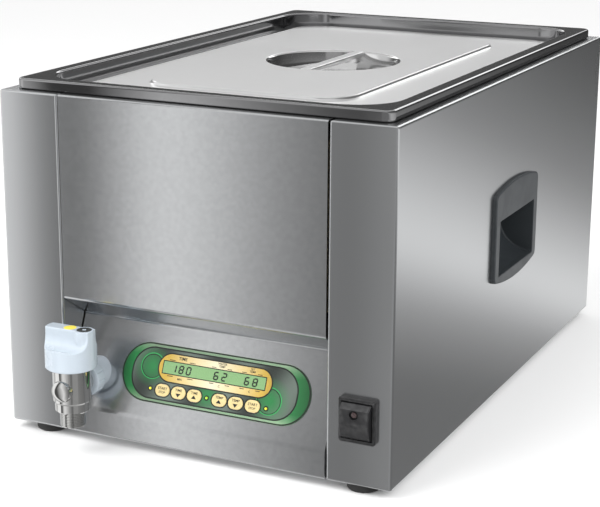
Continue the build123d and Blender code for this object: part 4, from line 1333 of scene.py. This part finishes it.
class WATERBATH_OT_cap(bpy.types.Operator):
    """Builds the valve's turning cap with its marker and plug"""

    bl_idname = "waterbath.cap"
    bl_label = "Valve cap"

    def execute(self, context):
        steps = context.scene.water_bath.valve.steps
        nose = Matrix.Translation((14.5, 0, 0))
        cap_top = 110.4
        skirt = [(0, 75.2), (18, 75.2), (18.5, 74.6), (22.0, 74.6), (23, 75.6), (23, cap_top), (0, cap_top)]
        whole = turned(skirt, steps)
        for side in (-1, 1):
            scoop = turned([(0, -40), (10.5, -40), (10.5, 40), (0, 40)], 48)
            moved(scoop, Matrix.Translation((0, side * 17, 104)) @ TO_SIDE)
            whole = combined(whole, scoop, "DIFFERENCE")
            clear = bmesh.new()
            block(clear, (-40, min(side * 6.5, side * 40), 104), (40, max(side * 6.5, side * 40), 120))
            whole = combined(whole, clear, "DIFFERENCE")
        grip = moved(turned([(0, 84), (8.8, 84), (8.8, cap_top), (0, cap_top)], 48), nose)
        whole = melted(combined(whole, grip, "UNION"), 0.6, 3)
        valve_place(whole)
        finish("cap_moulding", whole, "valve_handle", "cap", ["valve_cap"], smooth_angle=60)
        button = turned([(0, 108), (6, 108), (6, 110.2), (5.6, 110.45), (0, 110.5)], 40)
        finish("cap_button", valve_place(button), "valve_handle", "marker", ["cap_marker"])
        outline = [(0, 107), (7, 107), (7, 110.2), (6.5, 110.5), (2, 110.5), (1.7, 110.1), (0, 110.1)]
        plug = valve_place(moved(turned(outline, 40), nose))
        finish("cap_end_plug", plug, "valve_handle", "plug", ["cap_plug"])
        return {"FINISHED"}


# ------------------------------------------------------------------ studio

# Brightness along each reflector card, and of the surroundings from below to above.
FRONT_STOPS = [
    (0.0, 1.15), (0.05, 0.80), (0.12, 0.10), (0.23, 0.10), (0.42, 1.0),
    (0.50, 0.92), (0.70, 0.42), (0.84, 0.22), (0.90, 0.18), (1.0, 0.36),
]
SIDE_STOPS = [
    (0.0, 0.32), (0.18, 0.20), (0.35, 0.18), (0.44, 0.40), (0.51, 1.05),
    (0.57, 0.80), (0.68, 0.32), (0.85, 0.12), (1.0, 0.06),
]
BEHIND_STOPS = [
    (0.0, 0.3), (0.45, 0.4), (0.52, 0.05), (0.63, 0.05), (0.66, 1.0),
    (0.69, 1.0), (0.73, 0.27), (0.95, 0.22), (1.0, 0.25),
]
AROUND_STOPS = [(0.0, 0.22), (0.5, 0.28), (0.75, 0.34), (1.0, 0.34)]


def reflector(name, corner, across, up, stops, gradient):
    """A glowing card that only reflections see, shaded along one direction of its own plane."""
    bm = bmesh.new()
    made = bmesh.ops.create_grid(bm, x_segments=1, y_segments=1, size=0.5)
    bmesh.ops.translate(bm, vec=(0.5, 0.5, 0), verts=made["verts"])
    across, up = Vector(across), Vector(up)
    axes = Matrix((across, up, across.cross(up).normalized())).transposed().to_4x4()
    moved(bm, CASING @ Matrix.Translation(corner) @ axes)
    mesh = bpy.data.meshes.new(name)
    bm.to_mesh(mesh)
    bm.free()
    card = bpy.data.objects.new(name, mesh)
    bpy.context.scene.collection.objects.link(card)
    material = bpy.data.materials.new(name)
    material.use_nodes = True
    tree = material.node_tree
    tree.nodes.clear()
    place = add(tree, "ShaderNodeTexCoord").outputs["Object"]
    direction, start, end = gradient
    direction = Vector(direction)
    along = add(tree, "ShaderNodeVectorMath", {0: place, 1: direction}, operation="DOT_PRODUCT")
    low = direction.dot(CASING @ Vector(start))
    high = direction.dot(CASING @ Vector(end))
    fac = remap(tree, along.outputs["Value"], low, high)
    glow = add(tree, "ShaderNodeEmission", {"Color": ramp(tree, fac, stops), "Strength": 1.0})
    add(tree, "ShaderNodeOutputMaterial", {"Surface": glow.outputs[0]})
    mesh.materials.append(material)
    card.visible_camera = False
    card.visible_diffuse = False
    card.visible_shadow = False
    card.visible_transmission = False


def studio_world():
    """White surroundings. Reflections see greyer ones, with a dark and a bright band behind the bath."""
    world = bpy.data.worlds.new("studio")
    bpy.context.scene.world = world
    world.use_nodes = True
    tree = world.node_tree
    tree.nodes.clear()
    place = add(tree, "ShaderNodeTexCoord").outputs["Generated"]
    parts = add(tree, "ShaderNodeSeparateXYZ", {"Vector": place}).outputs
    level = remap(tree, parts["Z"], -1.0, 1.0)
    behind = remap(tree, parts["Y"], 0.0, 0.35)
    shade = mix(tree, behind, ramp(tree, level, AROUND_STOPS), ramp(tree, level, BEHIND_STOPS))
    seen = add(tree, "ShaderNodeBackground", {"Color": shade, "Strength": 2.4})
    even = add(tree, "ShaderNodeBackground", {"Color": (1, 1, 1, 1), "Strength": 1.0})
    ray = add(tree, "ShaderNodeLightPath").outputs["Is Glossy Ray"]
    both = add(tree, "ShaderNodeMixShader", {0: ray, 1: even.outputs[0], 2: seen.outputs[0]})
    add(tree, "ShaderNodeOutputWorld", {"Surface": both.outputs[0]})


def soft_light(name, place, target, size, power):
    lamp = bpy.data.lights.new(name, "AREA")
    lamp.shape = "RECTANGLE"
    lamp.size, lamp.size_y = size
    lamp.energy = power
    made = bpy.data.objects.new(name, lamp)
    bpy.context.scene.collection.objects.link(made)
    place = CASING @ Vector(place)
    aim = (CASING @ Vector(target)) - place
    made.matrix_world = Matrix.Translation(place) @ aim.to_track_quat("-Z", "Y").to_matrix().to_4x4()
    made.visible_glossy = False


class WATERBATH_OT_studio(bpy.types.Operator):
    """Sets the floor, the light and the camera"""

    bl_idname = "waterbath.studio"
    bl_label = "Studio"

    def execute(self, context):
        settings = context.scene.water_bath.studio
        studio_world()
        self.add_floor(context.scene, settings)
        front_run = ((1, 0, 0), (-377, 0, 0), (86, 0, 0))
        front_place = (-1500, -HALF_D - 250, -700)
        reflector("front_card", front_place, (2100, 0, 0), (0, 0, 1500), FRONT_STOPS, front_run)
        side_run = ((0, 0.344, 0.939), (0, -285, -300), (0, 1100, 300))
        side_place = (HALF_W + 250, -1500, -900)
        reflector("side_card", side_place, (0, 4200, 0), (0, 0, 1700), SIDE_STOPS, side_run)
        soft_light("key_light", (-900, -1500, 1700), (0, 0, 150), (1.6, 1.6), 38)
        soft_light("fill_light", (1700, -500, 1300), (0, 0, 150), (1.6, 1.6), 22)
        self.add_camera(context.scene, settings)
        return {"FINISHED"}

    def add_floor(self, scene, settings):
        """A pale floor, 60 m square, which reflections don't see."""
        bm = bmesh.new()
        square(bm, 30.0, 30.0, 0.0)
        mesh = bpy.data.meshes.new("floor")
        bm.to_mesh(mesh)
        bm.free()
        floor = bpy.data.objects.new("floor", mesh)
        scene.collection.objects.link(floor)
        paper, _, _ = start_material("floor paper", Base_Color=tuple(settings.floor), Roughness=0.9)
        mesh.materials.append(paper)
        floor.visible_glossy = False

    def add_camera(self, scene, settings):
        data = bpy.data.cameras.new("camera")
        data.lens = settings.lens
        data.sensor_width = 36
        data.clip_end = 100
        camera = bpy.data.objects.new("camera", data)
        scene.collection.objects.link(camera)
        az, el = settings.azimuth, settings.elevation
        heading = Vector((-sin(az) * cos(el), cos(az) * cos(el), -sin(el)))
        place = CASING @ Vector(settings.camera_place)
        turn = heading.to_track_quat("-Z", "Y").to_matrix().to_4x4()
        camera.matrix_world = Matrix.Translation(place) @ turn @ Matrix.Rotation(settings.roll, 4, "Z")
        scene.camera = camera
        scene.view_settings.view_transform = "Standard"


# ------------------------------------------------------------------ inner pieces

NODE_FINISHES = {
    "brushed": "left_side_shell right_side_shell front_panel rear_panel base_plate heater_clamp_plate",
    "bright": "casing_screws foot_screws board_standoffs temp_probe",
    "satin": "lid_panel lid_handle_bar false_bottom drain_pipe",
    "tank": "bath_tank",
    "rubber": "rubber_feet rim_seal drain_gasket gland_seal",
    "wool": "tank_insulation",
    "mat": "heating_mat",
    "black": "safety_thermostat switch_bezel switch_rocker switch_housing "
    "gland_body gland_nut gland_lock_nut",
    "brass": "drain_flange drain_nut valve_bonnet wedge_washer tail_lock_nut valve_stem",
    "chrome": "valve_body valve_ball",
    "nickel": "union_nut wall_rosette",
    "seal": "ball_seats",
    "cap": "valve_cap",
    "plug": "cap_plug",
    "marker": "cap_marker",
    "green": "control_overlay",
    "display": "display_window",
    "dark_steel": "display_module transformer",
    "board": "control_board power_board",
    "cream": " ".join(KEY_NODES),
    "lamp": "indicator_lamps",
    "lead": "heater_leads mains_leads",
    "red": "pilot_lens",
    "handle": "left_handle right_handle",
}


class WATERBATH_OT_inner_pieces(bpy.types.Operator):
    """Gives every CAD node its finish"""

    bl_idname = "waterbath.inner_pieces"
    bl_label = "Inner pieces"

    def execute(self, context):
        for finish_name, nodes in NODE_FINISHES.items():
            for node in nodes.split():
                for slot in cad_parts[node].material_slots:
                    slot.material = FINISHES[finish_name]
        return {"FINISHED"}


# ------------------------------------------------------------------ add-on


class WATERBATH_PT_panel(bpy.types.Panel):
    """Lists the pieces of the water bath"""

    bl_idname = "WATERBATH_PT_panel"
    bl_label = "Water Bath"
    bl_space_type = "VIEW_3D"
    bl_region_type = "UI"
    bl_category = "Water Bath"

    def draw(self, context):
        for operator in PIECES:
            self.layout.operator(operator.bl_idname)


PIECES = (
    WATERBATH_OT_inner_pieces,
    WATERBATH_OT_casing,
    WATERBATH_OT_tank,
    WATERBATH_OT_lid,
    WATERBATH_OT_handles,
    WATERBATH_OT_valve,
    WATERBATH_OT_cap,
    WATERBATH_OT_overlay,
    WATERBATH_OT_keys,
    WATERBATH_OT_studio,
)
GROUPS = (
    CasingSettings,
    TankSettings,
    ValveSettings,
    ControlSettings,
    PlasticSettings,
    StudioSettings,
    WaterBathSettings,
)


def register():
    for each in GROUPS + PIECES + (WATERBATH_PT_panel,):
        bpy.utils.register_class(each)
    bpy.types.Scene.water_bath = PointerProperty(type=WaterBathSettings)


def unregister():
    del bpy.types.Scene.water_bath
    for each in reversed(GROUPS + PIECES + (WATERBATH_PT_panel,)):
        bpy.utils.unregister_class(each)


def main():
    register()
    build_finishes(bpy.context.scene.water_bath)
    for operator in PIECES:
        group, name = operator.bl_idname.split(".")
        getattr(getattr(bpy.ops, group), name)()
    bpy.context.view_layer.update()


if __name__ == "__main__":
    main()
